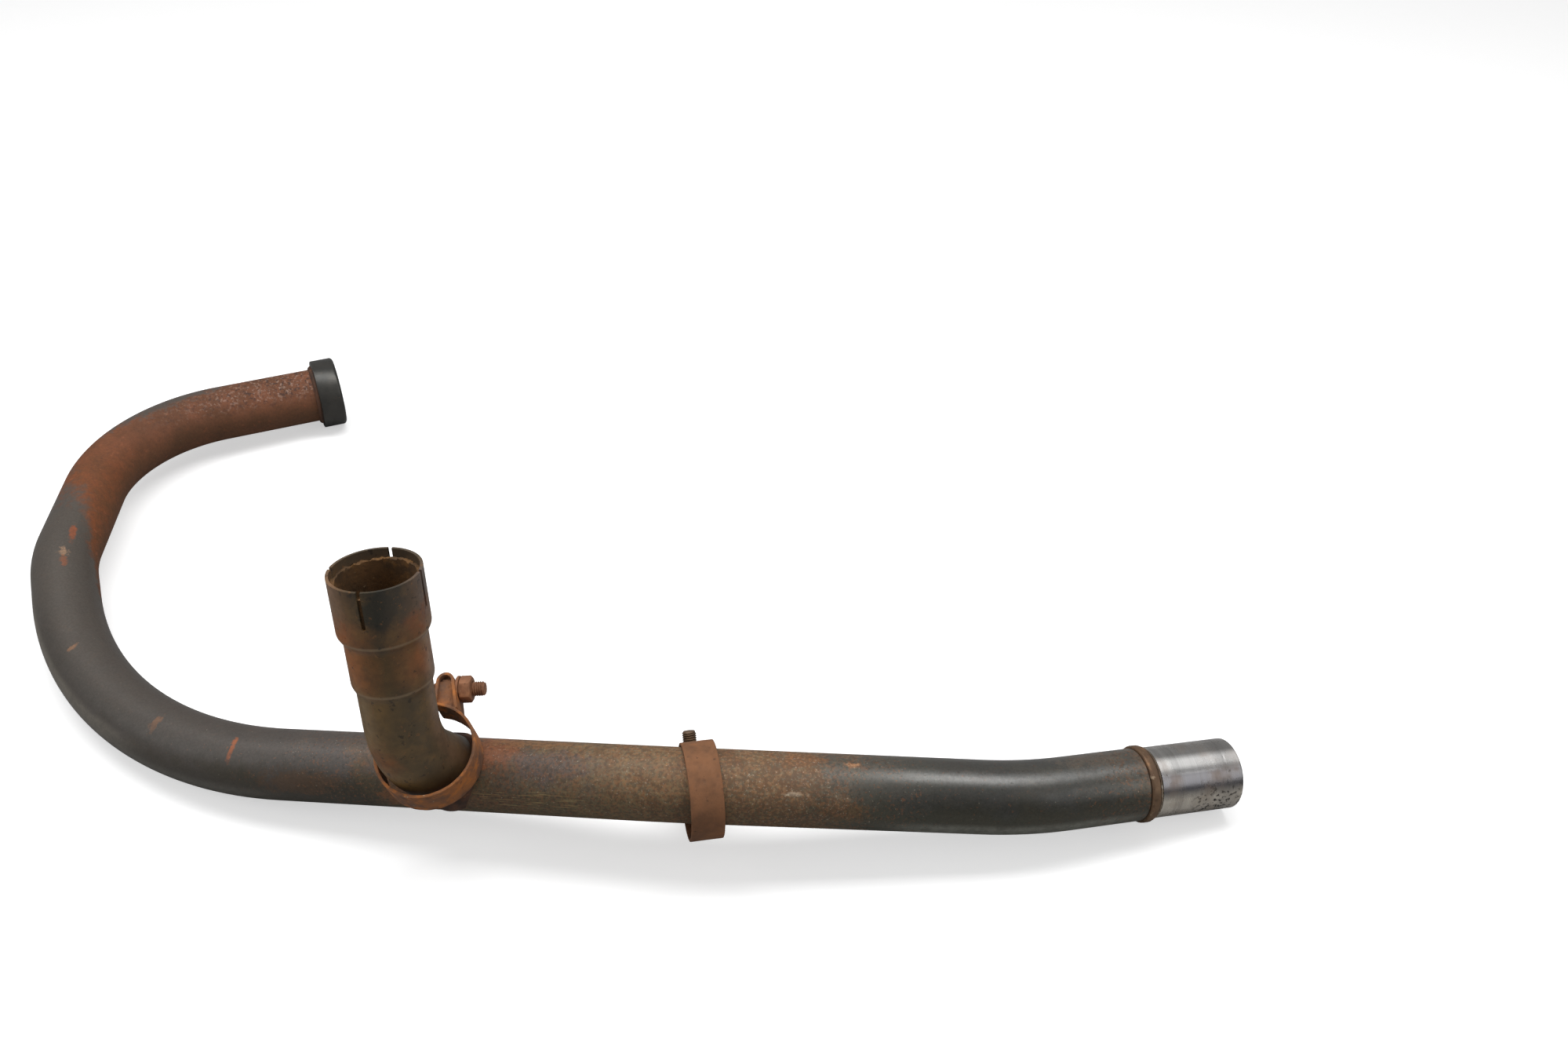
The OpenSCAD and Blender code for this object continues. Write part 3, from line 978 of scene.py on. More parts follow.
@dataclass(frozen=True)
class PipeFinish:
    """The pipe: red rust at the port, dark satin round the bend, mottled rust, then grey at the tail, with
    painted highlight, reflection and shade bands on the low bend and the tail.
    """

    name: str = "pipe_steel"
    length: float = 1.1069
    upper: Stops = (
        (0.0, srgb(84, 78, 73)), (0.26, srgb(82, 76, 70)), (0.48, srgb(77, 72, 68)),
        (0.55, srgb(84, 78, 74)),
        (0.60, srgb(92, 76, 60)), (0.64, srgb(92, 82, 70)), (0.675, srgb(112, 95, 70)),
        (0.71, srgb(132, 105, 72)),
        (0.758, srgb(142, 116, 84)), (0.783, srgb(108, 98, 80)), (0.803, srgb(80, 80, 74)),
        (0.87, srgb(74, 75, 73)),
        (0.94, srgb(86, 86, 81)), (1.0, srgb(114, 104, 90)),
    )
    lower: Stops = (
        (0.0, srgb(78, 70, 60)), (0.30, srgb(76, 69, 61)), (0.45, srgb(68, 63, 56)),
        (0.56, srgb(58, 55, 44)),
        (0.63, srgb(94, 82, 57)), (0.70, srgb(114, 97, 67)), (0.765, srgb(116, 99, 71)),
        (0.81, srgb(68, 69, 59)),
        (0.94, srgb(70, 70, 61)), (1.0, srgb(76, 71, 58)),
    )
    mottle: Stops = (
        (0.0, 0.05), (0.55, 0.06), (0.60, 0.3), (0.64, 0.22), (0.68, 0.55), (0.72, 0.95), (0.762, 1.0),
        (0.792, 0.25),
        (0.83, 0.08), (1.0, 0.12),
    )
    crumbs: Stops = (
        (0.0, 0.1), (0.30, 0.1), (0.48, 0.2), (0.55, 0.4), (0.62, 0.45), (0.70, 0.5), (0.78, 0.6),
        (0.83, 0.3),
        (0.9, 0.25), (0.95, 0.45), (1.0, 0.35),
    )
    marks: tuple[Mark, ...] = (
        Mark(284, -9, 10, 2.0, srgb(160, 86, 50), 0.75, 0.7),
        Mark(302, -5, 4, 3.0, srgb(176, 140, 110), 0.7, 0.9),
        Mark(310, -4, 5, 2.6, srgb(146, 86, 56), 0.7, 0.9),
        Mark(392, 4, 1.6, 3.6, srgb(150, 112, 84), 0.8, 0.8),
        Mark(487, 6, 2.4, 6.0, srgb(140, 100, 72), 0.6, 0.9),
        Mark(542, 9, 1.5, 7.0, srgb(172, 96, 54), 0.85, 0.7),
        Mark(585, 24, 26, 8.0, srgb(92, 70, 50), 0.7, 0.6),
        Mark(694, -1, 20, 13.0, srgb(142, 86, 52), 0.85, 0.6),
        Mark(716, -8, 22, 6.0, srgb(152, 112, 72), 0.6, 0.7),
        Mark(730, 7, 22, 9.0, srgb(92, 82, 78), 0.75, 0.6),
        Mark(690, 30, 26, 7.0, srgb(108, 76, 50), 0.5, 0.7),
        Mark(642, 29, 10, 8.0, srgb(150, 96, 54), 0.6, 0.7),
        Mark(858, -3, 12, 8.0, srgb(150, 100, 58), 0.5, 0.9),
        Mark(886, -1, 5, 1.6, srgb(190, 140, 100), 0.85, 0.8),
        Mark(855, 17, 5, 1.3, srgb(206, 190, 164), 0.85, 0.7),
        Mark(880, 26, 13, 7.0, srgb(116, 88, 54), 0.6, 0.7),
        Mark(1022, -6, 20, 6.0, srgb(124, 112, 100), 0.4, 0.8),
        Mark(1049, -2, 5, 14.0, srgb(128, 104, 82), 0.35, 0.7),
    )
    strip: Mark = Mark(122, 11, 42, 14.0, srgb(0, 0, 0), 0.95, 0.5)
    red_reach: float = 0.4
    red_fade: float = 0.018
    red_edge: Stops = ((0.16, 0.95), (0.25, 0.84), (0.34, 0.70), (0.44, 0.62), (0.56, 0.57), (1.0, 0.5))
    tones: Stops = (
        (0.28, srgb(66, 52, 38)), (0.40, srgb(108, 78, 50)), (0.48, srgb(126, 94, 62)),
        (0.55, srgb(112, 104, 84)), (0.62, srgb(150, 112, 72)), (0.74, srgb(168, 128, 90)),
    )
    # Painted light on the low bend and the tail: a dark band of painted shade under the top, pale bands of
    # painted reflection at the lower edge, and on the tail a painted highlight near the top.
    bands: tuple[PaintedLightBand, ...] = (
        PaintedLightBand((345, 600, 25), (9, 19, 5), srgb(56, 52, 46), 0.55),
        PaintedLightBand((335, 470, 22), (21, 34, 3), srgb(124, 117, 106), 0.7),
        PaintedLightBand((460, 560, 20), (31, 40, 3), srgb(104, 100, 92), 0.6),
        PaintedLightBand((905, 1040, 22), (1.5, 8, 3), srgb(140, 140, 139), 0.35),
        PaintedLightBand((900, 1035, 22), (12, 24, 5), srgb(30, 30, 29), 0.55),
        PaintedLightBand((915, 1045, 22), (33, 44, 3), srgb(140, 140, 130), 0.85),
    )

    def spot(
        self, p: "Paint", along: object, around: object, wave: object, mark: Mark
    ) -> bpy.types.NodeSocket:
        """Makes the mask of one mark.

        Args:
            p: The paint.
            along: Metres along the pipe.
            around: Metres round it.
            wave: Noise about zero that frays the mark.
            mark: The mark.

        Returns:
            The mask.
        """
        inputs = {
            "Along": along, "Around": around, "Wave": wave, "Centre Along": mark.along * MM,
            "Centre Around": mark.around * MM, "Half Along": mark.half_along * MM,
            "Half Around": mark.half_around * MM, "Ragged": mark.ragged,
        }
        return p.math("MULTIPLY", p.group(Pattern.SPOT, inputs).outputs[0], mark.strength)

    def make(self) -> bpy.types.Material:
        """Builds the material.

        Returns:
            The material.
        """
        p = Paint(self.name)
        split = p.add("SeparateXYZ", {0: p.uv()})
        along, around = split.outputs[0], split.outputs[1]
        wide = p.noise(p.space, 16.0, 3.0)
        broad = p.noise(p.space, 48.0, 6.0, 0.6)
        fine = p.noise(p.space, 150.0, 7.0, 0.68)
        grain = p.noise(p.space, 700.0, 5.0, 0.75)
        wander = p.math("MULTIPLY", p.centred(broad), 0.16)
        place = p.math("DIVIDE", p.math("ADD", along, wander), self.length)
        # clean steel and old scale
        below = p.span(p.math("ADD", around, p.math("MULTIPLY", wander, 0.25)), 0.013, 0.027)
        colour = p.blend(below, p.ramp(place, self.upper), p.ramp(place, self.lower))
        # mottled rust on the run
        mottle = p.ramp(place, self.mottle)
        tones = p.ramp(fine, self.tones)
        tones = p.over(tones, srgb(98, 81, 54), below, 0.5)
        colour = p.over(colour, tones, mottle, p.span(broad, 0.34, 0.6, (0.25, 0.9)))
        # placed patches and strokes
        wave = p.centred(p.noise(p.space, 190.0, 6.0, 0.7))
        for mark in self.marks:
            mask = self.spot(p, along, around, wave, mark)
            colour = p.blend(
                mask, colour,
                p.blend(p.span(fine, 0.35, 0.65), mark.colour, p.blend(0.35, mark.colour, srgb(80, 56, 40)))
            )
        # painted highlights, painted reflections and painted shade in bands on the low bend and the tail
        for band in self.bands:
            mask = p.product(
                p.zone(along, *band.along), p.zone(around, *band.around),
                p.span(fine, 0.3, 0.62, (0.45, 1.0)), band.strength
            )
            colour = p.blend(mask, colour, band.colour)
        # the red end, its dark strip and its orange border
        edge = p.ramp(p.math("ADD", p.math("MULTIPLY", around, 8.0), 0.5), self.red_edge)
        limit = p.math("MULTIPLY", edge, self.red_reach)
        frayed = p.math("ADD", p.math("MULTIPLY", wander, 0.35), p.math("MULTIPLY", p.centred(fine), 0.07))
        begin = p.math("SUBTRACT", limit, self.red_fade)
        end = p.math("ADD", limit, self.red_fade)
        red = p.rest(p.span(p.math("ADD", along, frayed), begin, end))
        red = p.math("MULTIPLY", red, p.rest(self.spot(p, along, around, wave, self.strip)))
        warm = p.span(along, 0.13, 0.24)
        rust = p.blend(p.span(broad, 0.36, 0.64), srgb(120, 72, 46), srgb(98, 60, 36))
        rust = p.over(
            rust, p.blend(p.span(fine, 0.35, 0.65), srgb(124, 66, 28), srgb(102, 60, 28)), warm, 0.85
        )
        low = p.rest(p.span(around, -0.036, -0.016))
        rust = p.over(rust, srgb(98, 70, 44), low, 0.5)
        rust = p.over(rust, srgb(148, 86, 54), p.specks(260.0, 0.3, 0.07, 5.0, 6.0), 0.5)
        near = p.rest(p.span(along, 0.04, 0.17))
        top = p.math("MULTIPLY", near, p.span(around, -0.026, -0.012))
        rust = p.over(rust, srgb(172, 146, 130), p.specks(430.0, 0.4, 0.08, 4.0, 6.0), top, 0.6)
        rust = p.over(
            rust, srgb(60, 42, 36), p.specks(420.0, 0.42, 0.05, 6.0, 5.0), p.math("ADD", top, 0.25), 0.7
        )
        colour = p.blend(red, colour, rust)
        # crumbs: rust, pale dust and dark points
        crumbs = p.ramp(place, self.crumbs)
        colour = p.over(colour, srgb(140, 90, 56), p.specks(620.0, crumbs, 0.05, 1.0), 0.4)
        colour = p.over(
            colour, srgb(196, 184, 164), p.specks(900.0, p.math("MULTIPLY", crumbs, 0.55), 0.04, 2.0), 0.55
        )
        colour = p.over(colour, srgb(44, 38, 32), p.specks(520.0, crumbs, 0.05, 3.0), 0.4)
        scratch = p.product(
            p.span(p.streaks(p.uv(), (60.0, 1500.0, 1.0), 5.0), 0.54, 0.64), p.zone(along, 690, 752, 10),
            p.zone(around, 22, 33, 3)
        )
        colour = p.over(colour, srgb(164, 140, 96), scratch, 0.8)
        shade = p.span(grain, 0.25, 0.75, (0.82, 1.14))
        tone = p.add("HueSaturation", {"Value": shade, "Color": colour})
        p.feed(p.shader.inputs["Base Color"], tone.outputs[0])
        cover = p.math("MAXIMUM", p.math("MULTIPLY", mottle, 0.8), red)
        dull = p.span(along, 0.86, 0.95, (0.46, 0.30))
        rough = p.lerp(cover, dull, 0.78)
        rough = p.math("ADD", rough, p.math("MULTIPLY", p.centred(fine), 0.22))
        p.feed(p.shader.inputs["Roughness"], rough)
        p.feed(p.shader.inputs["Metallic"], p.lerp(cover, p.span(along, 0.86, 0.95, (0.15, 0.4)), 0.0))
        pits = p.pits(330.0, p.lerp(red, p.math("MULTIPLY", crumbs, 1.2), 0.9))
        height = p.math("MULTIPLY", pits.outputs["Height"], p.lerp(cover, 0.22, 1.0))
        height = p.math("ADD", height, p.math("MULTIPLY", grain, 0.12))
        height = p.math("ADD", height, p.math("MULTIPLY", wide, 0.8))
        p.bump(height, 0.6, 0.32)
        return p.material


@dataclass(frozen=True)
class RustFinish:
    """Rust all over, in the shades of one fitting."""

    name: str
    base: Colour
    deep: Colour
    bright: Colour
    pale: Colour
    pale_share: float = 0.15
    bright_share: float = 0.35
    roughness: float = 0.85
    metallic: float = 0.05
    depth: float = 0.4
    scale: float = 1.0

    def make(self) -> bpy.types.Material:
        """Builds the material.

        Returns:
            The material.
        """
        p = Paint(self.name)
        broad = p.noise(p.space, 60.0 * self.scale, 5.0, 0.6)
        fine = p.noise(p.space, 260.0 * self.scale, 5.0, 0.7)
        colour = p.blend(p.span(broad, 0.36, 0.64), self.base, self.deep)
        bright = p.specks(110.0 * self.scale, self.bright_share, 0.07, 1.3, 6.0)
        colour = p.over(colour, self.bright, bright, 0.75)
        pale = p.specks(190.0 * self.scale, self.pale_share, 0.04, 2.6)
        colour = p.over(colour, self.pale, pale, 0.7)
        dark = p.specks(330.0 * self.scale, 0.24, 0.03, 3.1)
        colour = p.over(colour, srgb(44, 32, 26), dark, 0.55)
        pits = p.pits(300.0 * self.scale, 0.7)
        colour = p.over(colour, srgb(50, 34, 28), pits.outputs["Pit"], 0.5)
        p.set(colour, p.lerp(fine, self.roughness - 0.15, self.roughness + 0.1), self.metallic)
        height = p.math("ADD", pits.outputs["Height"], p.math("MULTIPLY", broad, 0.9))
        p.bump(height, 0.7, self.depth)
        return p.material


@dataclass(frozen=True)
class CollarFinish:
    """Charcoal satin with rust specks."""

    name: str = "black_steel"

    def make(self) -> bpy.types.Material:
        """Builds the material.

        Returns:
            The material.
        """
        p = Paint(self.name)
        broad = p.noise(p.space, 60.0, 4.0)
        fine = p.noise(p.space, 300.0, 5.0, 0.7)
        colour = p.blend(p.span(broad, 0.35, 0.65), srgb(60, 60, 58), srgb(76, 74, 70))
        specks = p.specks(240.0, 0.2, 0.04, 1.0)
        colour = p.over(colour, srgb(112, 92, 74), specks, 0.55)
        p.set(colour, p.lerp(fine, 0.27, 0.48), 0.6)
        p.bump(p.math("ADD", fine, broad), 0.35, 0.2)
        return p.material


@dataclass(frozen=True)
class SleeveFinish:
    """Bright turned steel with scratches round it, browned and pitted below, with a painted highlight band
    near the top and a dark band of painted reflection under it.
    """

    name: str = "bright_steel"
    end: float = 1.1063

    def make(self) -> bpy.types.Material:
        """Builds the material.

        Returns:
            The material.
        """
        p = Paint(self.name)
        uv = p.uv()
        split = p.add("SeparateXYZ", {0: uv})
        along, around = split.outputs[0], split.outputs[1]
        lines = p.streaks(uv, (1500.0, 14.0, 1.0))
        bands = p.streaks(uv, (170.0, 5.0, 1.0), 2.0)
        marks = p.streaks(uv, (40.0, 420.0, 1.0), 6.0)
        # Colour round the sleeve holds painted light: a painted highlight band near the top, a dark band of
        # painted reflection under it, and a paler lower part that is partly painted floor reflection and
        # partly brown stain.
        painted_light_tint = p.ramp(p.math("ADD", p.math("MULTIPLY", around, 10.0), 0.5), [
            (0.0, srgb(200, 197, 192)), (0.42, srgb(216, 213, 209)), (0.49, srgb(206, 204, 201)),
            (0.53, srgb(246, 245, 243)), (0.575, srgb(244, 243, 241)), (0.62, srgb(122, 121, 124)),
            (0.70, srgb(106, 105, 109)), (0.76, srgb(222, 214, 200)), (0.88, srgb(208, 200, 188)),
            (1.0, srgb(200, 197, 192)),
        ])
        painted_highlight_band = p.zone(around, 1.5, 8.5, 2.5)
        colour = p.over(painted_light_tint, srgb(120, 117, 114), p.span(bands, 0.3, 0.7), 0.3)
        colour = p.over(colour, srgb(104, 98, 94), p.span(lines, 0.5, 0.75), 0.6)
        stain = p.specks(60.0, 0.42, 0.12, 1.0, 6.0)
        colour = p.over(colour, srgb(140, 120, 104), stain, 0.45)
        near_end = p.zone(along, 1092.0, 1104.0, 4.0)
        colour = p.over(colour, srgb(112, 108, 106), near_end, 0.25)
        low = p.span(around, 0.012, 0.03)
        dots = p.product(p.specks(460.0, 0.43, 0.03, 2.0), low, p.zone(along, 1078.0, 1110.0, 8.0))
        colour = p.blend(dots, colour, srgb(48, 42, 40))
        few = p.specks(380.0, 0.2, 0.03, 4.0)
        colour = p.over(colour, srgb(70, 62, 58), few, 0.6)
        rough = p.lerp(lines, 0.14, 0.34)
        rough = p.math("ADD", rough, p.math("MULTIPLY", p.math("MAXIMUM", stain, dots), 0.18))
        # Metal is lowered in the painted highlight band and on the lower part, so that the painted light
        # colours show there.
        metal = p.math(
            "SUBTRACT", 1.0, p.math("ADD", p.math("MULTIPLY", painted_highlight_band, 0.6), p.math("MULTIPLY", low, 0.35)),
            True
        )
        p.set(colour, rough, metal)
        height = p.math("ADD", p.math("MULTIPLY", lines, 0.5), p.math("MULTIPLY", marks, 0.2))
        height = p.math("SUBTRACT", height, p.math("MULTIPLY", p.math("MAXIMUM", dots, few), 0.8))
        height = p.math("ADD", height, p.math("MULTIPLY", bands, 0.8))
        p.bump(height, 0.35, 0.12)
        return p.material


@dataclass(frozen=True)
class BranchFinish:
    """Dark socket with orange at its steps, olive-brown below, brown inside; darker where it faces the front
    and lighter at the flanks, partly painted reflection and partly rust.
    """

    name: str = "branch_steel"
    # Colours round the socket, body and foot: darkest where the branch faces the front and lighter at the
    # flanks, partly painted reflection at the grazing flanks and partly orange rust.
    socket: Stops = (
        (0.0, srgb(96, 82, 66)), (0.30, srgb(144, 108, 78)), (0.40, srgb(118, 88, 56)),
        (0.48, srgb(60, 54, 41)),
        (0.56, srgb(46, 45, 37)), (0.66, srgb(78, 68, 57)), (0.75, srgb(112, 90, 72)),
        (0.85, srgb(110, 92, 82)),
        (1.0, srgb(96, 82, 66)),
    )
    body: Stops = (
        (0.0, srgb(112, 84, 58)), (0.33, srgb(178, 110, 54)), (0.44, srgb(136, 90, 46)),
        (0.54, srgb(94, 73, 43)),
        (0.64, srgb(116, 82, 49)), (0.74, srgb(140, 94, 57)), (0.83, srgb(154, 122, 98)),
        (1.0, srgb(112, 84, 58)),
    )
    foot: Stops = (
        (0.0, srgb(104, 86, 62)), (0.33, srgb(150, 121, 80)), (0.44, srgb(128, 99, 57)),
        (0.54, srgb(110, 89, 57)),
        (0.64, srgb(90, 75, 52)), (0.74, srgb(108, 90, 66)), (0.83, srgb(134, 104, 78)),
        (1.0, srgb(104, 86, 62)),
    )

    def make(self) -> bpy.types.Material:
        """Builds the material.

        Returns:
            The material.
        """
        p = Paint(self.name)
        uv = p.uv()
        split = p.add("SeparateXYZ", {0: uv})
        along = split.outputs[0]
        wander = p.math("MULTIPLY", p.centred(p.noise(p.space, 70.0, 5.0, 0.6)), 0.02)
        place = p.math("ADD", along, wander)
        broad = p.noise(p.space, 40.0, 5.0, 0.6)
        fine = p.noise(p.space, 210.0, 5.0, 0.65)
        side = p.math(
            "ADD",
            p.math("MULTIPLY", p.math("ADD", split.outputs[1], p.math("MULTIPLY", wander, 0.3)), 12.0), 0.5
        )
        # Colour by the way round: darker facing the front, lighter at the flanks, partly painted reflection.
        foot, body, socket = (p.ramp(side, stops) for stops in (self.foot, self.body, self.socket))
        colour = p.blend(p.span(place, 0.088, 0.106), foot, body)
        colour = p.blend(p.span(place, 0.126, 0.140), colour, socket)
        flank = p.ramp(
            side,
            [(0.24, 0.3), (0.36, 1.0), (0.47, 0.25), (0.56, 0.05), (0.68, 0.45), (0.76, 1.0), (0.95, 0.3)]
        )
        steps = p.math(
            "MAXIMUM", p.zone(place, 127.0, 140.0, 4.0),
            p.math("MULTIPLY", p.zone(place, 104.0, 118.0, 8.0), 0.6)
        )
        orange = p.specks(60.0, 0.42, 0.12, 1.0, 6.0)
        patches = p.product(flank, steps, p.math("ADD", p.math("MULTIPLY", orange, 0.7), 0.3))
        scorch = p.patch((-79.0, -229.0, 90.0), 8.0, 7.0, 6.0)
        patches = p.math("MAXIMUM", patches, p.math("MULTIPLY", scorch, 0.7))
        colour = p.over(colour, srgb(162, 92, 47), patches, 0.9)
        colour = p.blend(p.span(fine, 0.3, 0.7, (0.0, 0.28)), colour, srgb(70, 60, 44))
        colour = p.over(colour, srgb(58, 55, 50), p.span(broad, 0.4, 0.66), 0.25)
        olive = p.specks(75.0, 0.42, 0.09, 7.0, 6.0)
        colour = p.over(colour, srgb(138, 106, 62), olive, 0.32)
        murk = p.specks(48.0, 0.4, 0.1, 9.0, 6.0)
        colour = p.over(colour, srgb(58, 52, 40), murk, 0.35)
        # Pale narrow bands at the shoulders of the two steps and near the mouth.
        pale_rims = p.math("MAXIMUM", p.zone(along, 124.2, 125.8, 0.7), p.zone(along, 94.6, 96.2, 0.7))
        pale_rims = p.math(
            "MAXIMUM", p.math("MULTIPLY", pale_rims, 0.45),
            p.math("MULTIPLY", p.zone(along, 160.6, 168.0, 0.5), 0.6)
        )
        colour = p.blend(pale_rims, colour, srgb(166, 142, 112))
        dots = p.specks(300.0, 0.3, 0.03, 2.0)
        colour = p.over(colour, srgb(136, 96, 58), dots, 0.5)
        dark = p.specks(240.0, 0.3, 0.04, 3.0)
        colour = p.over(colour, srgb(38, 34, 30), dark, 0.6)
        p.set(
            colour, p.math("ADD", p.lerp(patches, 0.44, 0.75), p.math("MULTIPLY", p.centred(fine), 0.3)),
            p.lerp(patches, 0.25, 0.05)
        )
        pits = p.pits(280.0, 0.35)
        p.bump(p.math("ADD", p.math("MULTIPLY", pits.outputs["Height"], 0.6), broad), 0.5, 0.3)
        return p.material


# Sub-assemblies


@dataclass
class HeadPipe:
    """The bent pipe with its collar, stop ring and bright sleeve."""

    corners: tuple[tuple[float, float, float], ...] = (
        (-222.0, 214.8, 25.95), (-368.0, 149.8, 30.5), (-350.0, 0.3, 31.0), (-285.0, -151.7, 12.27),
        (68.0, -211.7, 54.0), (256.6, -204.1, 34.0), (375.8, -172.6, 19.5),
    )
    bends: tuple[float, ...] = (98.0, 108.0, 232.0, 197.0, 220.0)
    radius: float = 20.0
    wall: float = 1.0
    seat: float = 2.0
    collar_radius: float = 26.0
    collar_length: float = 17.0
    sleeve_radius: float = 19.6
    neck_radius: float = 18.95
    sleeve_wall: float = 1.5
    sleeve_out: float = 52.0
    sleeve_in: float = 46.0
    ring_radius: float = 21.4
    ring_length: float = 5.5
    ring_gap: float = 0.5
    collar_round: float = 2.5
    collar_chamfer: float = 0.8
    collar_lip: float = 0.3
    sleeve_round: float = 0.75
    sleeve_taper: float = 1.92
    sleeve_line: tuple[float, float, float] = (9.0, 1.2, 0.1)
    ring_round: float = 1.4
    bead_size: float = 1.75
    play: float = 0.02

    def __post_init__(self) -> None:
        """Lays out the centreline."""
        self.route = Route(tuple(Vector(c) for c in self.corners), self.bends)

    def at_tail(self, back: float) -> Matrix:
        """Stands a frame on the tail at a distance from its end, with z out of the pipe."""
        return standing(self.route.at(self.route.length - back)[0], self.route.at(self.route.length)[1], UP)

    def pipe(self, look: bpy.types.Material) -> bpy.types.Object:
        """Sweeps the pipe's outside and bore along the route.

        Args:
            look: The piece's material.

        Returns:
            The finished piece.
        """
        clay = Clay()
        last = self.route.length - self.sleeve_out - self.ring_length - self.ring_gap
        ends = []
        for radius, step, fold in ((self.radius, 4.0, 1.5), (self.radius - self.wall, 30.0, 4.0)):
            ring = clay.ring(radius, 96, self.route.placed(self.seat))
            ends.append((ring, clay.sweep(self.route, ring, self.seat, last, step, fold)))
        clay.join(ends[0][0], ends[1][0])
        clay.join(ends[0][1], ends[1][1])
        clay.tidy()
        piece = thing("pipe_tube", clay)
        lay_uv(piece.data, self.route, self.radius)
        return finished(piece, look, "header_pipe")

    def collar(self, look: bpy.types.Material) -> bpy.types.Object:
        """Turns the collar with its rounded front edge.

        Args:
            look: The piece's material.

        Returns:
            The finished piece.
        """
        clay = Clay()
        r, bore, length = self.collar_radius, self.radius + self.play, self.collar_length
        round_off, chamfer, lip = self.collar_round, self.collar_chamfer, self.collar_lip
        place = standing(self.route.at(length)[0], -self.route.at(0)[1], UP)
        back = [
            (bore, lip), (bore + lip, 0), (r - chamfer, 0), (r - 0.3 * chamfer, 0.3 * chamfer), (r, chamfer)
        ]
        front = rounded((r - round_off, length - round_off), round_off, 90, 0, 8)
        mouth = [(bore + 0.4, length), (bore, length - 0.4)]
        clay.lathe([*back, *front, *mouth], 96, place)
        clay.tidy()
        clay.displace(lambda co, n: -0.12 * max(0.0, noise.noise(co * 0.09)))
        return finished(thing("collar_ring", clay), look, "port_collar", 40)

    def sleeve(self, look: bpy.types.Material) -> bpy.types.Object:
        """Turns the sleeve, with a shallow turned line near its end.

        Args:
            look: The piece's material.

        Returns:
            The finished piece.
        """
        clay = Clay()
        total = self.sleeve_out + self.sleeve_in
        place = self.at_tail(total)
        r, inner = self.sleeve_radius, self.sleeve_radius - self.sleeve_wall
        neck, bore = self.neck_radius, self.neck_radius - self.sleeve_wall
        hidden = total - self.sleeve_out + self.sleeve_taper
        from_end, wide, deep = self.sleeve_line
        line = [total - from_end - wide, total - from_end]
        heights = np.arange(hidden, total - 1, 0.6)
        outer = [(neck, 0.0), (neck, hidden - 0.01)]
        outer += [(r - (deep if line[0] < z < line[1] else 0.0), z) for z in heights]
        rim = rounded((r - self.sleeve_round, total - self.sleeve_round), self.sleeve_round, 90, -90, 8)
        step = hidden + self.sleeve_wall
        clay.lathe([*outer, *rim, (inner, total - 4), (inner, step), (bore, step), (bore, 0)], 128, place)
        clay.tidy()
        piece = thing("sleeve_tube", clay)
        lay_uv(piece.data, self.route, r)
        return finished(piece, look, "tail_sleeve", 40)

    def ring(self, look: bpy.types.Material) -> bpy.types.Object:
        """Turns the stop ring with its worn edges.

        Args:
            look: The piece's material.

        Returns:
            The finished piece.
        """
        clay = Clay()
        place = self.at_tail(self.sleeve_out + self.ring_length)
        r, bore, length = self.ring_radius, self.neck_radius + self.play, self.ring_length
        edge = self.ring_round
        back = rounded((r - edge, edge), edge, 180, 90, 6)
        front = rounded((r - edge, length - edge), edge, 90, 0, 6)
        clay.lathe([(bore, 0), *back, *front, (bore, length)], 160, place)
        clay.tidy()
        clay.displace(lambda co, n: -0.22 * abs(noise.noise(co * 0.35)) - 0.12 * abs(noise.noise(co * 1.1)))
        return finished(thing("stop_ring_turned", clay), look, "stop_ring", 60)

    def bead(self, look: bpy.types.Material) -> bpy.types.Object:
        """Turns the ragged bead between the ring and the sleeve.

        Args:
            look: The piece's material.

        Returns:
            The finished piece.
        """
        clay = Clay()
        place = self.at_tail(self.sleeve_out)
        corner = (self.neck_radius + 0.03, self.play)
        clay.lathe([corner, *rounded(corner, self.bead_size, 90, 0, 6)], 200, place)
        clay.tidy()
        clay.displace(lambda co, n: -0.5 * abs(noise.noise(co * 0.6)) - 0.25 * abs(noise.noise(co * 1.9)))
        return finished(thing("ring_bead", clay), look, "ring_weld", 80)


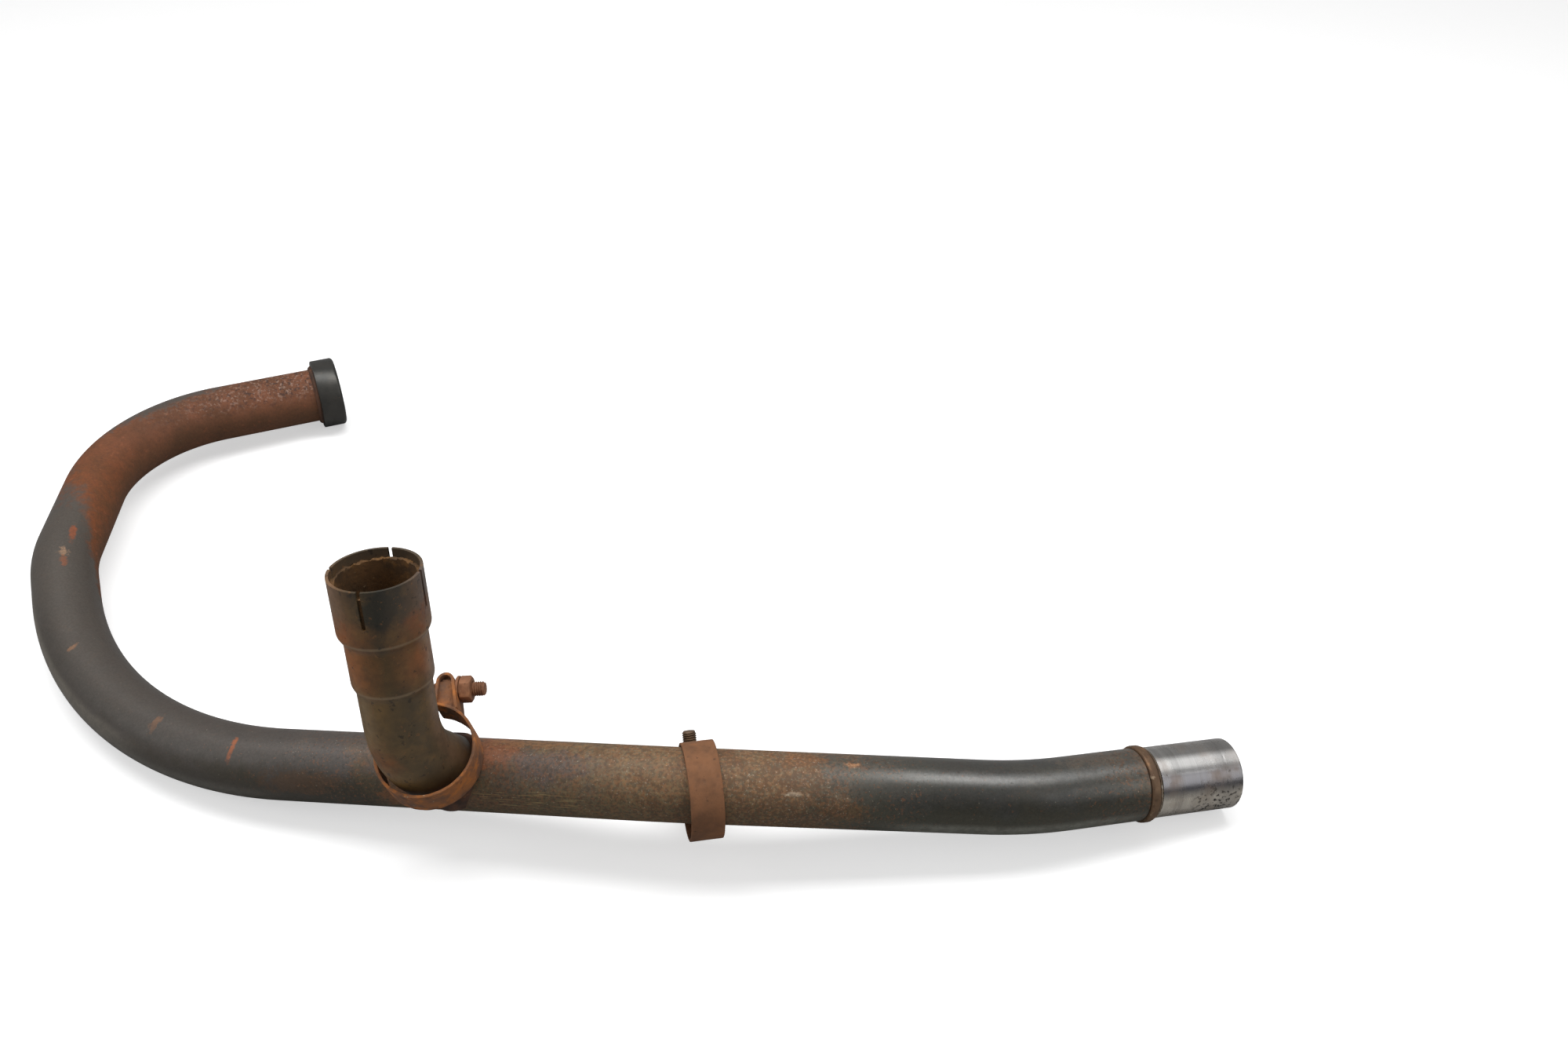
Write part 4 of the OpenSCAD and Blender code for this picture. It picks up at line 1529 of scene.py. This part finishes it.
@dataclass
class Branch:
    """The bent branch, its slotted socket and the gasket sleeve in it."""

    root: tuple[float, float, float] = (-51.9426, -191.3132, 39.8209)
    leg: tuple[float, float, float] = (-0.377821, -0.450269, 0.809017)
    up: tuple[float, float, float] = (-0.02388, 0.194486, 0.980615)
    leg_length: float = 49.0
    reach: float = 110.0
    elbow: float = 52.0
    radius: float = 19.0
    middle: float = 20.75
    mouth: float = 23.25
    wall: float = 1.5
    mouth_length: float = 30.5
    middle_length: float = 23.0
    taper: float = 6.5
    slot_turn: float = 85.0
    slot_width: float = 2.0
    slot_length: float = 20.5
    gasket_depth: float = 4.0
    gasket_wall: float = 1.95
    gasket_play: float = 0.06
    gasket_torn: float = 6.0
    foot_start: float = 8.0
    foot_play: float = 0.02

    def __post_init__(self) -> None:
        """Lays out the centreline."""
        root, leg, up = Vector(self.root), Vector(self.leg).normalized(), Vector(self.up).normalized()
        corner = root + self.leg_length * leg
        self.tip = corner + self.reach * up
        self.axis = up
        self.route = Route((root, corner, self.tip), (self.elbow,), Vector((0, -1, 0)))

    def flare(self, below: float) -> float:
        """Gives the outside radius at a distance below the mouth.

        Args:
            below: The distance.

        Returns:
            The radius.
        """
        def ease(x: float) -> float:
            """Rises smoothly from 0 to 1."""
            x = min(1.0, max(0.0, x))
            return x * x * (3 - 2 * x)

        first = ease((below - self.mouth_length) / self.taper)
        second = ease((below - self.mouth_length - self.taper - self.middle_length) / self.taper)
        return self.mouth - (self.mouth - self.middle) * first - (self.middle - self.radius) * second

    def tube(self, look: bpy.types.Material, pipe: HeadPipe) -> bpy.types.Object:
        """Sweeps the branch, opens its mouth, cuts its slots and fits its foot to the pipe.

        Args:
            look: The piece's material.
            pipe: The pipe that the branch stands on.

        Returns:
            The finished piece.
        """
        clay = Clay()
        ends = []
        straight = self.route.stretches[-1]
        first = self.foot_start
        for inset, steps in ((0.0, 90), (self.wall, 60)):
            start = clay.ring(self.radius - inset, 96, self.route.placed(first))
            edges = clay.sweep(self.route, start, first, straight.begin, 3.0, 2.5)
            step = straight.length / steps
            size = self.radius - inset
            for k in range(1, steps + 1):
                edges = clay.push(edges, step * straight.heading)
                centre = straight.start + k * step * straight.heading
                grown = self.flare(straight.length - k * step) - inset
                verts = once(v for e in edges for v in e.verts)
                about = Matrix.Translation(-centre)
                bmesh.ops.scale(clay.bm, vec=Vector((grown / size,) * 3), verts=verts, space=about)
                size = grown
            ends.append((start, edges))
        clay.join(ends[0][0], ends[1][0])
        clay.join(ends[0][1], ends[1][1])
        clay.tidy()
        piece = thing("branch_tube", clay)
        foot = Clay()
        stretch = pipe.route.stretches[6]
        cut = pipe.radius + self.foot_play
        bmesh.ops.create_cone(
            foot.bm, cap_ends=True, segments=160, radius1=cut, radius2=cut,
            depth=160.0, matrix=standing(Vector(self.root), stretch.heading, UP),
        )
        carve(piece, thing("foot_cutter", foot))
        carve(piece, self.slots())
        lay_uv(piece.data, self.route, self.radius)
        return finished(piece, look, "crossover_branch", 32)

    def slots(self) -> bpy.types.Object:
        """Makes the cutters of the four slots, each with a round end.

        Returns:
            The cutters as one object.
        """
        clay = Clay()
        place = standing(self.tip, self.axis, Vector((0, -1, 0)))
        near, far, above = 12.0, 28.0, 3.0
        for k in range(4):
            turn = Matrix.Rotation(math.radians(self.slot_turn + 90 + 90 * k), 4, "Z")
            half = self.slot_width / 2
            bottom = half - self.slot_length
            end = [
                (near, half * math.cos(a), bottom + half * math.sin(a))
                for a in np.linspace(math.pi, FULL, 9)
            ]
            edge = [clay.bm.verts.new(p) for p in [(near, -half, above), *end, (near, half, above)]]
            face = clay.bm.faces.new(edge)
            made = bmesh.ops.extrude_face_region(clay.bm, geom=[face])["geom"]
            moved = [g for g in made if isinstance(g, BMVert)]
            bmesh.ops.translate(clay.bm, verts=moved, vec=(far - near, 0, 0))
            bmesh.ops.transform(clay.bm, matrix=place @ turn, verts=edge + moved)
        clay.tidy()
        return thing("slot_cutter", clay)

    def gasket(self, look: bpy.types.Material) -> bpy.types.Object:
        """Turns the stuck gasket sleeve with its broken top edge.

        Args:
            look: The piece's material.

        Returns:
            The finished piece.
        """
        clay = Clay()
        place = standing(self.tip - self.mouth_length * self.axis, self.axis, Vector((0, -1, 0)))
        outer = self.mouth - self.wall - self.gasket_play
        inner = outer - self.gasket_wall
        top = self.mouth_length - self.gasket_depth - 0.1
        rows = [(outer, z) for z in np.linspace(0.1, top, 24)]
        crown = [(outer - 0.5, top), (outer - 1.0, top), (outer - 1.5, top)]
        clay.lathe([*rows, *crown, *[(inner, z) for z in np.linspace(top, 0.1, 24)]], 160, place)
        clay.tidy()
        down = -self.axis
        flat = place.inverted()
        for v in clay.bm.verts:
            height = (flat @ v.co).z
            share = max(0.0, (height - (top - self.gasket_torn)) / self.gasket_torn)
            v.co += down * share * (1.6 * abs(noise.noise(v.co * 0.28)) + 1.3 * abs(noise.noise(v.co * 0.9)))
        return finished(thing("gasket_sleeve", clay), look, "socket_gasket", 70)


@dataclass
class Fastener:
    """A threaded screw with its hexagon head, and the nut and washer on it."""

    place: Matrix
    name: str
    slot: str
    grip: float
    play: float
    tail: float
    thread: float = 8.0
    pitch: float = 1.25
    flats: float = 13.0
    head: float = 5.3
    nut: float = 6.5
    washer: float = 15.0
    washer_thick: float = 1.5
    thread_depth: float = 0.62
    washer_edge: float = 0.3

    def build(self, look: bpy.types.Material) -> None:
        """Makes the screw, its washer and its nut.

        Args:
            look: Their material.
        """
        nut_at = self.grip + self.washer_thick + self.play
        self.screw(nut_at + self.nut + self.tail, look)
        self.disc(self.grip, look)
        self.hex_nut(nut_at, look)

    def hexagon(self, height: float, hole: float) -> Clay:
        """Makes a hexagon with its corners turned down at both ends.

        Args:
            height: Its height.
            hole: Diameter of its hole, or 0.

        Returns:
            The clay.
        """
        clay = Clay()
        corner = self.flats / 2 / math.cos(math.pi / 6)
        bmesh.ops.create_circle(clay.bm, cap_ends=True, radius=corner, segments=6)
        up = bmesh.ops.extrude_face_region(clay.bm, geom=clay.bm.faces[:])["geom"]
        bmesh.ops.translate(clay.bm, verts=[g for g in up if isinstance(g, BMVert)], vec=(0, 0, height))
        body = thing("hexagon", clay)
        lens = Clay()
        flat = self.flats / 2 * 0.96
        wide = corner + 0.3
        slope = (wide - flat) * math.tan(math.radians(30))
        side = [(flat, 0.0), (wide, slope), (wide, height - slope), (flat, height)]
        lens.lathe([(hole / 2, 0.0), *side, (hole / 2, height)], 72, Matrix.Identity(4))
        lens.tidy()
        carve(body, thing("lens", lens), "INTERSECT")
        out = reclaimed(body)
        out.tidy()
        return out

    def screw(self, length: float, look: bpy.types.Material) -> bpy.types.Object:
        """Makes the screw: the head under z = 0 and the thread along +z.

        Args:
            length: How far the thread reaches past the head.
            look: The piece's material.

        Returns:
            The finished piece.
        """
        clay = self.hexagon(self.head, 0.0)
        bmesh.ops.translate(clay.bm, verts=clay.bm.verts[:], vec=(0, 0, -self.head))
        rod = Clay()
        major, minor, steps = self.thread / 2, self.thread / 2 - self.thread_depth, 32
        turns = int(length / self.pitch) + 3
        points = []
        for k in range(-1, turns):
            z = k * self.pitch
            points += [(minor, z), (major, z + 0.4 * self.pitch), (major, z + 0.6 * self.pitch)]
        points.append((minor, turns * self.pitch))
        verts = [rod.bm.verts.new((r, 0, z)) for r, z in points]
        edges = [rod.bm.edges.new(pair) for pair in zip(verts, verts[1:], strict=False)]
        bmesh.ops.spin(
            rod.bm, geom=verts + edges, cent=(0, 0, 0), axis=(0, 0, 1), angle=FULL, steps=steps,
            dvec=(0, 0, self.pitch / steps), use_duplicate=False,
        )
        bmesh.ops.remove_doubles(rod.bm, verts=rod.bm.verts[:], dist=1e-3)
        for height, side in ((0.01, -1), (length, 1)):
            cut = bmesh.ops.bisect_plane(
                rod.bm, geom=rod.bm.verts[:] + rod.bm.edges[:] + rod.bm.faces[:], plane_co=(0, 0, height),
                plane_no=(0, 0, side), clear_outer=True,
            )["geom_cut"]
            bmesh.ops.edgeloop_fill(rod.bm, edges=[g for g in cut if isinstance(g, BMEdge)])
        for v in rod.bm.verts:
            limit = major - max(0.0, v.co.z - (length - 1.0)) * 0.8
            flat = math.hypot(v.co.x, v.co.y)
            if flat > limit:
                v.co.x, v.co.y = v.co.x * limit / flat, v.co.y * limit / flat
        rod.tidy()
        rod_mesh = rod.mesh("rod")
        clay.bm.from_mesh(rod_mesh)
        bpy.data.meshes.remove(rod_mesh)
        clay.displace(lambda co, n: -0.1 * abs(noise.noise(co * 0.9)))
        bmesh.ops.transform(clay.bm, matrix=self.place, verts=clay.bm.verts[:])
        piece = thing(self.name + "_screw_cut", clay)
        return finished(piece, look, self.name + "_screw", 30)

    def hex_nut(self, at: float, look: bpy.types.Material) -> bpy.types.Object:
        """Makes the nut with its near face at a height.

        Args:
            at: Height of the near face, from the head.
            look: The piece's material.

        Returns:
            The finished piece.
        """
        clay = self.hexagon(self.nut, self.thread + 0.04)
        bmesh.ops.translate(clay.bm, verts=clay.bm.verts[:], vec=(0, 0, at))
        bmesh.ops.transform(clay.bm, matrix=self.place, verts=clay.bm.verts[:])
        clay.soften(0.25, 2)
        clay.displace(lambda co, n: -0.14 * abs(noise.noise(co * 0.5)))
        piece = thing(self.name + "_nut_cut", clay)
        return finished(piece, look, self.name + "_nut", 40)

    def disc(self, at: float, look: bpy.types.Material) -> bpy.types.Object:
        """Makes the washer with its near face at a height.

        Args:
            at: Height of the near face, from the head.
            look: The piece's material.

        Returns:
            The finished piece.
        """
        clay = Clay()
        r, bore, edge = self.washer / 2, self.thread / 2 + 0.1, self.washer_edge
        top = at + self.washer_thick
        rim = [(r - edge, at), (r, at + edge), (r, top - edge), (r - edge, top)]
        clay.lathe([(bore, at), *rim, (bore, top)], 64, self.place)
        clay.tidy()
        piece = thing(self.name + "_washer_cut", clay)
        return finished(piece, look, self.name + "_washer", 40)


def strip(
    path: Sequence[Vector], width: tuple[float, float], thick: float, place: Matrix, rough: float
) -> Clay:
    """Bends a strip of sheet along a path.

    Args:
        path: The strip's middle line in the local x and y.
        width: Lowest and highest local z.
        thick: Thickness.
        place: Where the strip goes.
        rough: How far its surface is eaten away.

    Returns:
        The clay of the finished strip.
    """
    clay = Clay()
    rows = 6
    verts = [
        clay.bm.verts.new((path[0].x, path[0].y, width[0] + (width[1] - width[0]) * k / rows))
        for k in range(rows + 1)
    ]
    edges = [clay.bm.edges.new(pair) for pair in zip(verts, verts[1:], strict=False)]
    for a, b in zip(path, path[1:], strict=False):
        made = bmesh.ops.extrude_edge_only(clay.bm, edges=edges)["geom"]
        moved = [g for g in made if isinstance(g, BMVert)]
        bmesh.ops.translate(clay.bm, verts=moved, vec=b - a)
        ring = set(moved)
        edges = [g for g in made if isinstance(g, BMEdge) and g.verts[0] in ring and g.verts[1] in ring]
    bmesh.ops.recalc_face_normals(clay.bm, faces=clay.bm.faces[:])
    sheet = thing("strip", clay)
    wall = sheet.modifiers.new("wall", "SOLIDIFY")
    wall.thickness, wall.offset, wall.use_even_offset = thick, 0.0, True
    round_off = sheet.modifiers.new("edge", "BEVEL")
    round_off.width, round_off.segments = 0.35, 2
    round_off.limit_method, round_off.angle_limit = "ANGLE", math.radians(50)
    settled(sheet)
    out = reclaimed(sheet)
    bmesh.ops.transform(out.bm, matrix=place, verts=out.bm.verts[:])
    out.tidy()
    out.displace(
        lambda co, n: -rough * abs(noise.noise(co * 0.16)) - 0.4 * rough * abs(noise.noise(co * 0.7))
    )
    return out


def arc(centre: tuple[float, float], radius: float, first: float, last: float, steps: int) -> list[Vector]:
    """Lays points on an arc in the local x and y, with its angles in degrees.

    Args:
        centre: The arc's centre.
        radius: Its radius.
        first: Angle of the first point.
        last: Angle of the last point.
        steps: Number of steps.

    Returns:
        The points.
    """
    return [
        Vector((centre[0] + radius * math.cos(a), centre[1] + radius * math.sin(a), 0))
        for a in np.radians(np.linspace(first, last, steps + 1))
    ]


def shoulder(mid: float, ear: float, bend: float) -> tuple[float, list[Vector]]:
    """Bends the corner between a clamp's round band and its ear.

    Args:
        mid: Radius of the band's middle line.
        ear: Distance of the ear's middle line from the clamp's middle plane.
        bend: Radius of the corner.

    Returns:
        The angle, in degrees, at which the round band begins, and the corner's points.
    """
    start = math.degrees(math.asin((ear + bend) / (mid + bend)))
    centre = ((mid + bend) * math.cos(math.radians(start)), ear + bend)
    return start, arc(centre, bend, 180 + start, 270, 6)


@dataclass
class CrossoverClamp:
    """The clamp that has dropped round the branch's foot, with its looped ears."""

    place: Matrix = field(default_factory=lambda: frame_of(
        (-62.3782, -200.6972, 59.3179),
        (
            (-0.01745, -0.997983, -0.061041),
            (0.94225, 0.004008, -0.334886),
            (0.334455, -0.063359, 0.940279),
        ),
    ))
    inside: float = 25.3
    thick: float = 1.8
    width: float = 18.0
    gap: float = 3.0
    height: float = 17.5
    loop: float = 5.0
    foot: float = 15.0
    screw_height: float = 11.0
    hole: float = 8.4
    bend: float = 1.6
    play: float = 0.1
    tail: float = 7.0
    worn: float = 0.05
    eaten: float = 0.18

    def band(self, look: bpy.types.Material) -> bpy.types.Object:
        """Bends the band and its two loops from one strip.

        Args:
            look: The piece's material.

        Returns:
            The finished piece.
        """
        mid = self.inside + self.thick / 2
        ear = self.gap / 2 + self.thick / 2
        top = self.inside + self.thick + self.height
        at = (top - self.loop, self.gap / 2 + self.loop)
        r = self.loop - self.thick / 2
        foot_x = math.sqrt((self.inside + self.thick) ** 2 - self.foot**2) + self.thick / 2
        rise = (top - self.loop - foot_x, at[1] - self.foot)
        lean = math.degrees(math.atan2(-rise[1], rise[0])) - math.degrees(
            math.asin(self.loop / math.hypot(*rise))
        )
        foot = Vector((foot_x - 0.3, self.foot - self.thick / 2, 0))
        start, corner = shoulder(mid, ear, self.bend)
        side = [
            foot, *arc(at, r, 90 - lean, -90, 14), *[Vector((x, ear, 0)) for x in (at[0] - 4, at[0] - 8)]
        ]
        right = side + list(reversed(corner))
        ring = arc((0, 0), mid, start, 360 - start, 120)
        left = [Vector((p.x, -p.y, 0)) for p in reversed(right)]
        path = right + ring[1:-1] + left
        clay = strip(path, (0.0, self.width), self.thick - self.worn, self.place, self.eaten)
        piece = thing("crossover_band_bent", clay)
        floor = arc((0, 0), mid, start, math.degrees(math.atan2(foot.y, foot.x)), 8)
        carve(piece, self.scale(right + floor[1:], (self.width - 1.0, self.width - 2.5)), "UNION")
        hole = Clay()
        bmesh.ops.create_cone(
            hole.bm, cap_ends=True, segments=40, radius1=self.hole / 2, radius2=self.hole / 2, depth=60.0,
            matrix=self.screw_line(0.0),
        )
        carve(piece, thing("hole_cutter", hole))
        return finished(piece, look, "crossover_clamp_band", 40)

    def scale(self, outline: Sequence[Vector], heights: tuple[float, float]) -> bpy.types.Object:
        """Packs both loops with lumpy rust scale.

        Args:
            outline: The middle line of the head-side loop's wall, closed along the band.
            heights: How high the scale stands in the loop at the screw's head and in the one at its nut.

        Returns:
            The scale as an object, to be joined to the band.
        """
        clay = Clay()
        foot, longest = 0.2, 2.4
        for side, height in zip((1, -1), heights, strict=True):
            face = clay.bm.faces.new([clay.bm.verts.new((q.x, side * q.y, foot)) for q in outline])
            made = bmesh.ops.extrude_face_region(clay.bm, geom=[face])["geom"]
            bmesh.ops.translate(
                clay.bm, verts=[g for g in made if isinstance(g, BMVert)], vec=(0, 0, height - foot)
            )
        bmesh.ops.triangulate(clay.bm, faces=clay.bm.faces[:])
        for _ in range(3):
            long = [e for e in clay.bm.edges if e.calc_length() > longest]
            bmesh.ops.subdivide_edges(clay.bm, edges=long, cuts=1)
            bmesh.ops.triangulate(clay.bm, faces=clay.bm.faces[:])
        for v in clay.bm.verts:
            if v.co.z > heights[0 if v.co.y > 0 else 1] - 0.01:
                v.co.z -= 1.1 * abs(noise.noise(v.co * 0.3)) + 0.6 * abs(noise.noise(v.co * 0.9))
        bmesh.ops.transform(clay.bm, matrix=self.place, verts=clay.bm.verts[:])
        clay.tidy()
        return thing("loop_scale", clay)

    def screw_line(self, side: float) -> Matrix:
        """Stands a frame on the screw's line at a local y, with z towards the nut."""
        middle = Matrix.Translation((self.inside + self.thick + self.screw_height, side, self.width / 2))
        return self.place @ middle @ Matrix.Rotation(math.pi / 2, 4, "X")

    def fastener(self) -> Fastener:
        """Puts a screw through both loops, with its nut on the local -y side.

        Returns:
            The fastener.
        """
        side = self.gap / 2 + 2 * self.loop + self.play
        line = self.screw_line(side)
        return Fastener(line, "crossover_clamp", "rusty_steel", 2 * side, self.play, self.tail)


@dataclass
class MufflerClamp:
    """The clamp that hangs on the run, with flat ears and backing plates."""

    place: Matrix = field(default_factory=lambda: frame_of(
        (81.1226, -210.6718, 48.492),
        (
            (-0.181464, -0.086091, 0.979622),
            (0.772765, 0.603608, 0.196192),
            (-0.608198, 0.792619, -0.043006),
        ),
    ))
    inside: float = 24.5
    thick: float = 1.8
    width: float = 17.8
    gap: float = 5.0
    height: float = 17.5
    screw_height: float = 11.0
    plate_thick: float = 2.5
    bend: float = 1.4
    play: float = 0.02
    tail: float = 11.5
    worn: float = 0.05
    eaten: float = 0.16

    def band(self, look: bpy.types.Material) -> bpy.types.Object:
        """Bends the band and its ears from one strip.

        Args:
            look: The piece's material.

        Returns:
            The finished piece.
        """
        mid = self.inside + self.thick / 2
        ear = self.gap / 2 + self.thick / 2
        top = self.inside + self.thick + self.height
        start, corner = shoulder(mid, ear, self.bend)
        right = [Vector((x, ear, 0)) for x in np.linspace(top, mid + 4, 6)] + list(reversed(corner))
        ring = arc((0, 0), mid, start, 360 - start, 120)
        left = [Vector((p.x, -p.y, 0)) for p in reversed(right)]
        half = self.width / 2
        path = right + ring[1:-1] + left
        clay = strip(path, (-half, half), self.thick - self.worn, self.place, self.eaten)
        return finished(thing("muffler_band_bent", clay), look, "muffler_clamp_band", 40)

    def fastener(self) -> Fastener:
        """Puts a screw through both ears, with its nut on the local +y side.

        Returns:
            The fastener.
        """
        side = self.gap / 2 + self.thick + self.play + self.plate_thick + self.play
        middle = Matrix.Translation((self.inside + self.thick + self.screw_height, -side, 0))
        place = self.place @ middle @ Matrix.Rotation(-math.pi / 2, 4, "X")
        return Fastener(place, "muffler_clamp", "screw_steel", 2 * side, self.play, self.tail)


# Studio


@dataclass
class Studio:
    """The pale floor, the soft lights and the camera."""

    camera_at: tuple[float, float, float] = (0.1255, -0.7142, 0.630)
    tilt: float = 38.4
    lens: float = 32.416

    def floor(self) -> None:
        """Lays a wide pale floor."""
        p = Paint("studio_floor")
        grain = p.noise(p.space, 60.0, 3.0)
        seen = p.add("LightPath").outputs["Is Camera Ray"]
        pale = p.blend(grain, srgb(228, 228, 228), srgb(232, 232, 232))
        p.set(p.blend(seen, srgb(150, 150, 150), pale), 0.9, 0.0)
        p.feed(p.shader.inputs["Emission Color"], srgb(255, 255, 255))
        p.feed(p.shader.inputs["Emission Strength"], p.math("MULTIPLY", seen, 0.5))
        clay = Clay()
        bmesh.ops.create_grid(clay.bm, x_segments=1, y_segments=1, size=12.0)
        floor = thing("floor", clay)
        floor.data.materials.append(p.material)

    def lamp(self, name: str, at: Vector, aim: Vector, size: tuple[float, float], power: float) -> None:
        """Hangs a soft lamp.

        Args:
            name: Its name.
            at: Where it hangs, in metres.
            aim: What it points at.
            size: Width and height.
            power: Watts.
        """
        light = bpy.data.lights.new(name, "AREA")
        light.shape, light.size, light.size_y, light.energy = "RECTANGLE", size[0], size[1], power
        made = bpy.data.objects.new(name, light)
        made.location = at
        made.rotation_euler = (aim - at).to_track_quat("-Z", "Y").to_euler()
        bpy.context.scene.collection.objects.link(made)

    def lights(self) -> None:
        """Lights the object evenly, most from above."""
        world = bpy.data.worlds.new("studio")
        bpy.context.scene.world = world
        world.use_nodes = True
        g = Graph(world.node_tree)
        world.node_tree.nodes.clear()
        sky = g.add("Background", {"Color": (1.0, 1.0, 1.0, 1.0), "Strength": 0.28})
        out = g.add("OutputWorld")
        world.node_tree.links.new(sky.outputs[0], out.inputs[0])
        middle = Vector((0, 0, 0.03))
        self.lamp("overhead", Vector((0.0, 0.12, 1.5)), middle, (2.0, 0.55), 21)
        self.lamp("left", Vector((-1.6, -0.6, 1.1)), middle, (1.0, 1.0), 6)
        self.lamp("right", Vector((1.5, -0.9, 0.9)), middle, (0.9, 0.9), 4)

    def camera(self) -> None:
        """Sets the camera as it stood for the photograph."""
        data = bpy.data.cameras.new("camera")
        data.lens, data.sensor_width, data.clip_start = self.lens, 36.0, 0.01
        made = bpy.data.objects.new("camera", data)
        made.location = self.camera_at
        made.rotation_euler = (math.radians(90 - self.tilt), 0, 0)
        bpy.context.scene.collection.objects.link(made)
        bpy.context.scene.camera = made

    def build(self) -> None:
        """Builds it all."""
        bpy.context.scene.view_settings.view_transform = "Standard"
        self.floor()
        self.lights()
        self.camera()


class Shades(Enum):
    """The rust finishes of the small pieces."""

    MUFFLER = RustFinish(
        "muffler_rust", srgb(136, 92, 60), srgb(114, 78, 52), srgb(150, 96, 58), srgb(160, 134, 106),
        pale_share=0.12, bright_share=0.3,
    )
    CROSSOVER = RustFinish(
        "crossover_rust", srgb(160, 102, 58), srgb(108, 80, 62), srgb(190, 116, 54), srgb(208, 184, 150),
        pale_share=0.22, bright_share=0.42,
    )
    SCREW = RustFinish(
        "screw_rust", srgb(158, 108, 76), srgb(118, 80, 56), srgb(176, 122, 82), srgb(204, 170, 140),
        pale_share=0.22, bright_share=0.35, roughness=0.7, metallic=0.15,
    )
    THREAD = RustFinish(
        "thread_rust", srgb(108, 84, 62), srgb(74, 60, 48), srgb(140, 104, 74), srgb(172, 148, 122),
        pale_share=0.2, bright_share=0.3, roughness=0.6, metallic=0.3,
    )
    RING = RustFinish(
        "ring_tan", srgb(124, 98, 74), srgb(98, 76, 58), srgb(142, 104, 70), srgb(178, 156, 130),
        pale_share=0.25, bright_share=0.35, roughness=0.55, metallic=0.5, depth=0.25,
    )
    BEAD = RustFinish(
        "bead_grey", srgb(150, 132, 112), srgb(112, 92, 74), srgb(168, 150, 130), srgb(200, 190, 176),
        pale_share=0.4, bright_share=0.3, roughness=0.5, metallic=0.5, depth=0.3,
    )
    WELD = RustFinish(
        "weld_brown", srgb(96, 64, 46), srgb(62, 46, 38), srgb(126, 80, 50), srgb(150, 130, 110),
        pale_share=0.12, bright_share=0.3,
    )
    GASKET = RustFinish(
        "gasket_brown", srgb(108, 76, 42), srgb(80, 58, 34), srgb(128, 90, 46), srgb(176, 154, 120),
        pale_share=0.2, bright_share=0.4, roughness=0.85, metallic=0.05, depth=0.5,
    )


def dress(frame: dict, nodes: Sequence[str], look: bpy.types.Material) -> None:
    """Gives solids that stay as they are a better material.

    Args:
        nodes: Names of the solids.
        look: The material.
    """
    for name in nodes:
        solid = frame["nodes"][name]
        for slot in solid.material_slots:
            slot.material = look


def main() -> None:
    """Builds every piece and the studio."""
    logging.basicConfig(level=logging.INFO, format="%(message)s")
    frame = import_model()
    PatternShop.build()
    looks = {shade: shade.value.make() for shade in Shades}
    pipe = HeadPipe()
    pipe.pipe(PipeFinish().make())
    pipe.collar(CollarFinish().make())
    pipe.sleeve(SleeveFinish().make())
    pipe.ring(looks[Shades.RING])
    pipe.bead(looks[Shades.BEAD])
    branch = Branch()
    branch.tube(BranchFinish().make(), pipe)
    branch.gasket(looks[Shades.GASKET])
    crossover = CrossoverClamp()
    crossover.band(looks[Shades.CROSSOVER])
    crossover.fastener().build(looks[Shades.SCREW])
    muffler = MufflerClamp()
    muffler.band(looks[Shades.MUFFLER])
    muffler.fastener().build(looks[Shades.THREAD])
    dress(frame, ["collar_weld", "branch_weld"], looks[Shades.WELD])
    dress(frame, ["muffler_clamp_lower_plate", "muffler_clamp_upper_plate"], looks[Shades.MUFFLER])
    Studio().build()


if __name__ == "__main__":
    main()
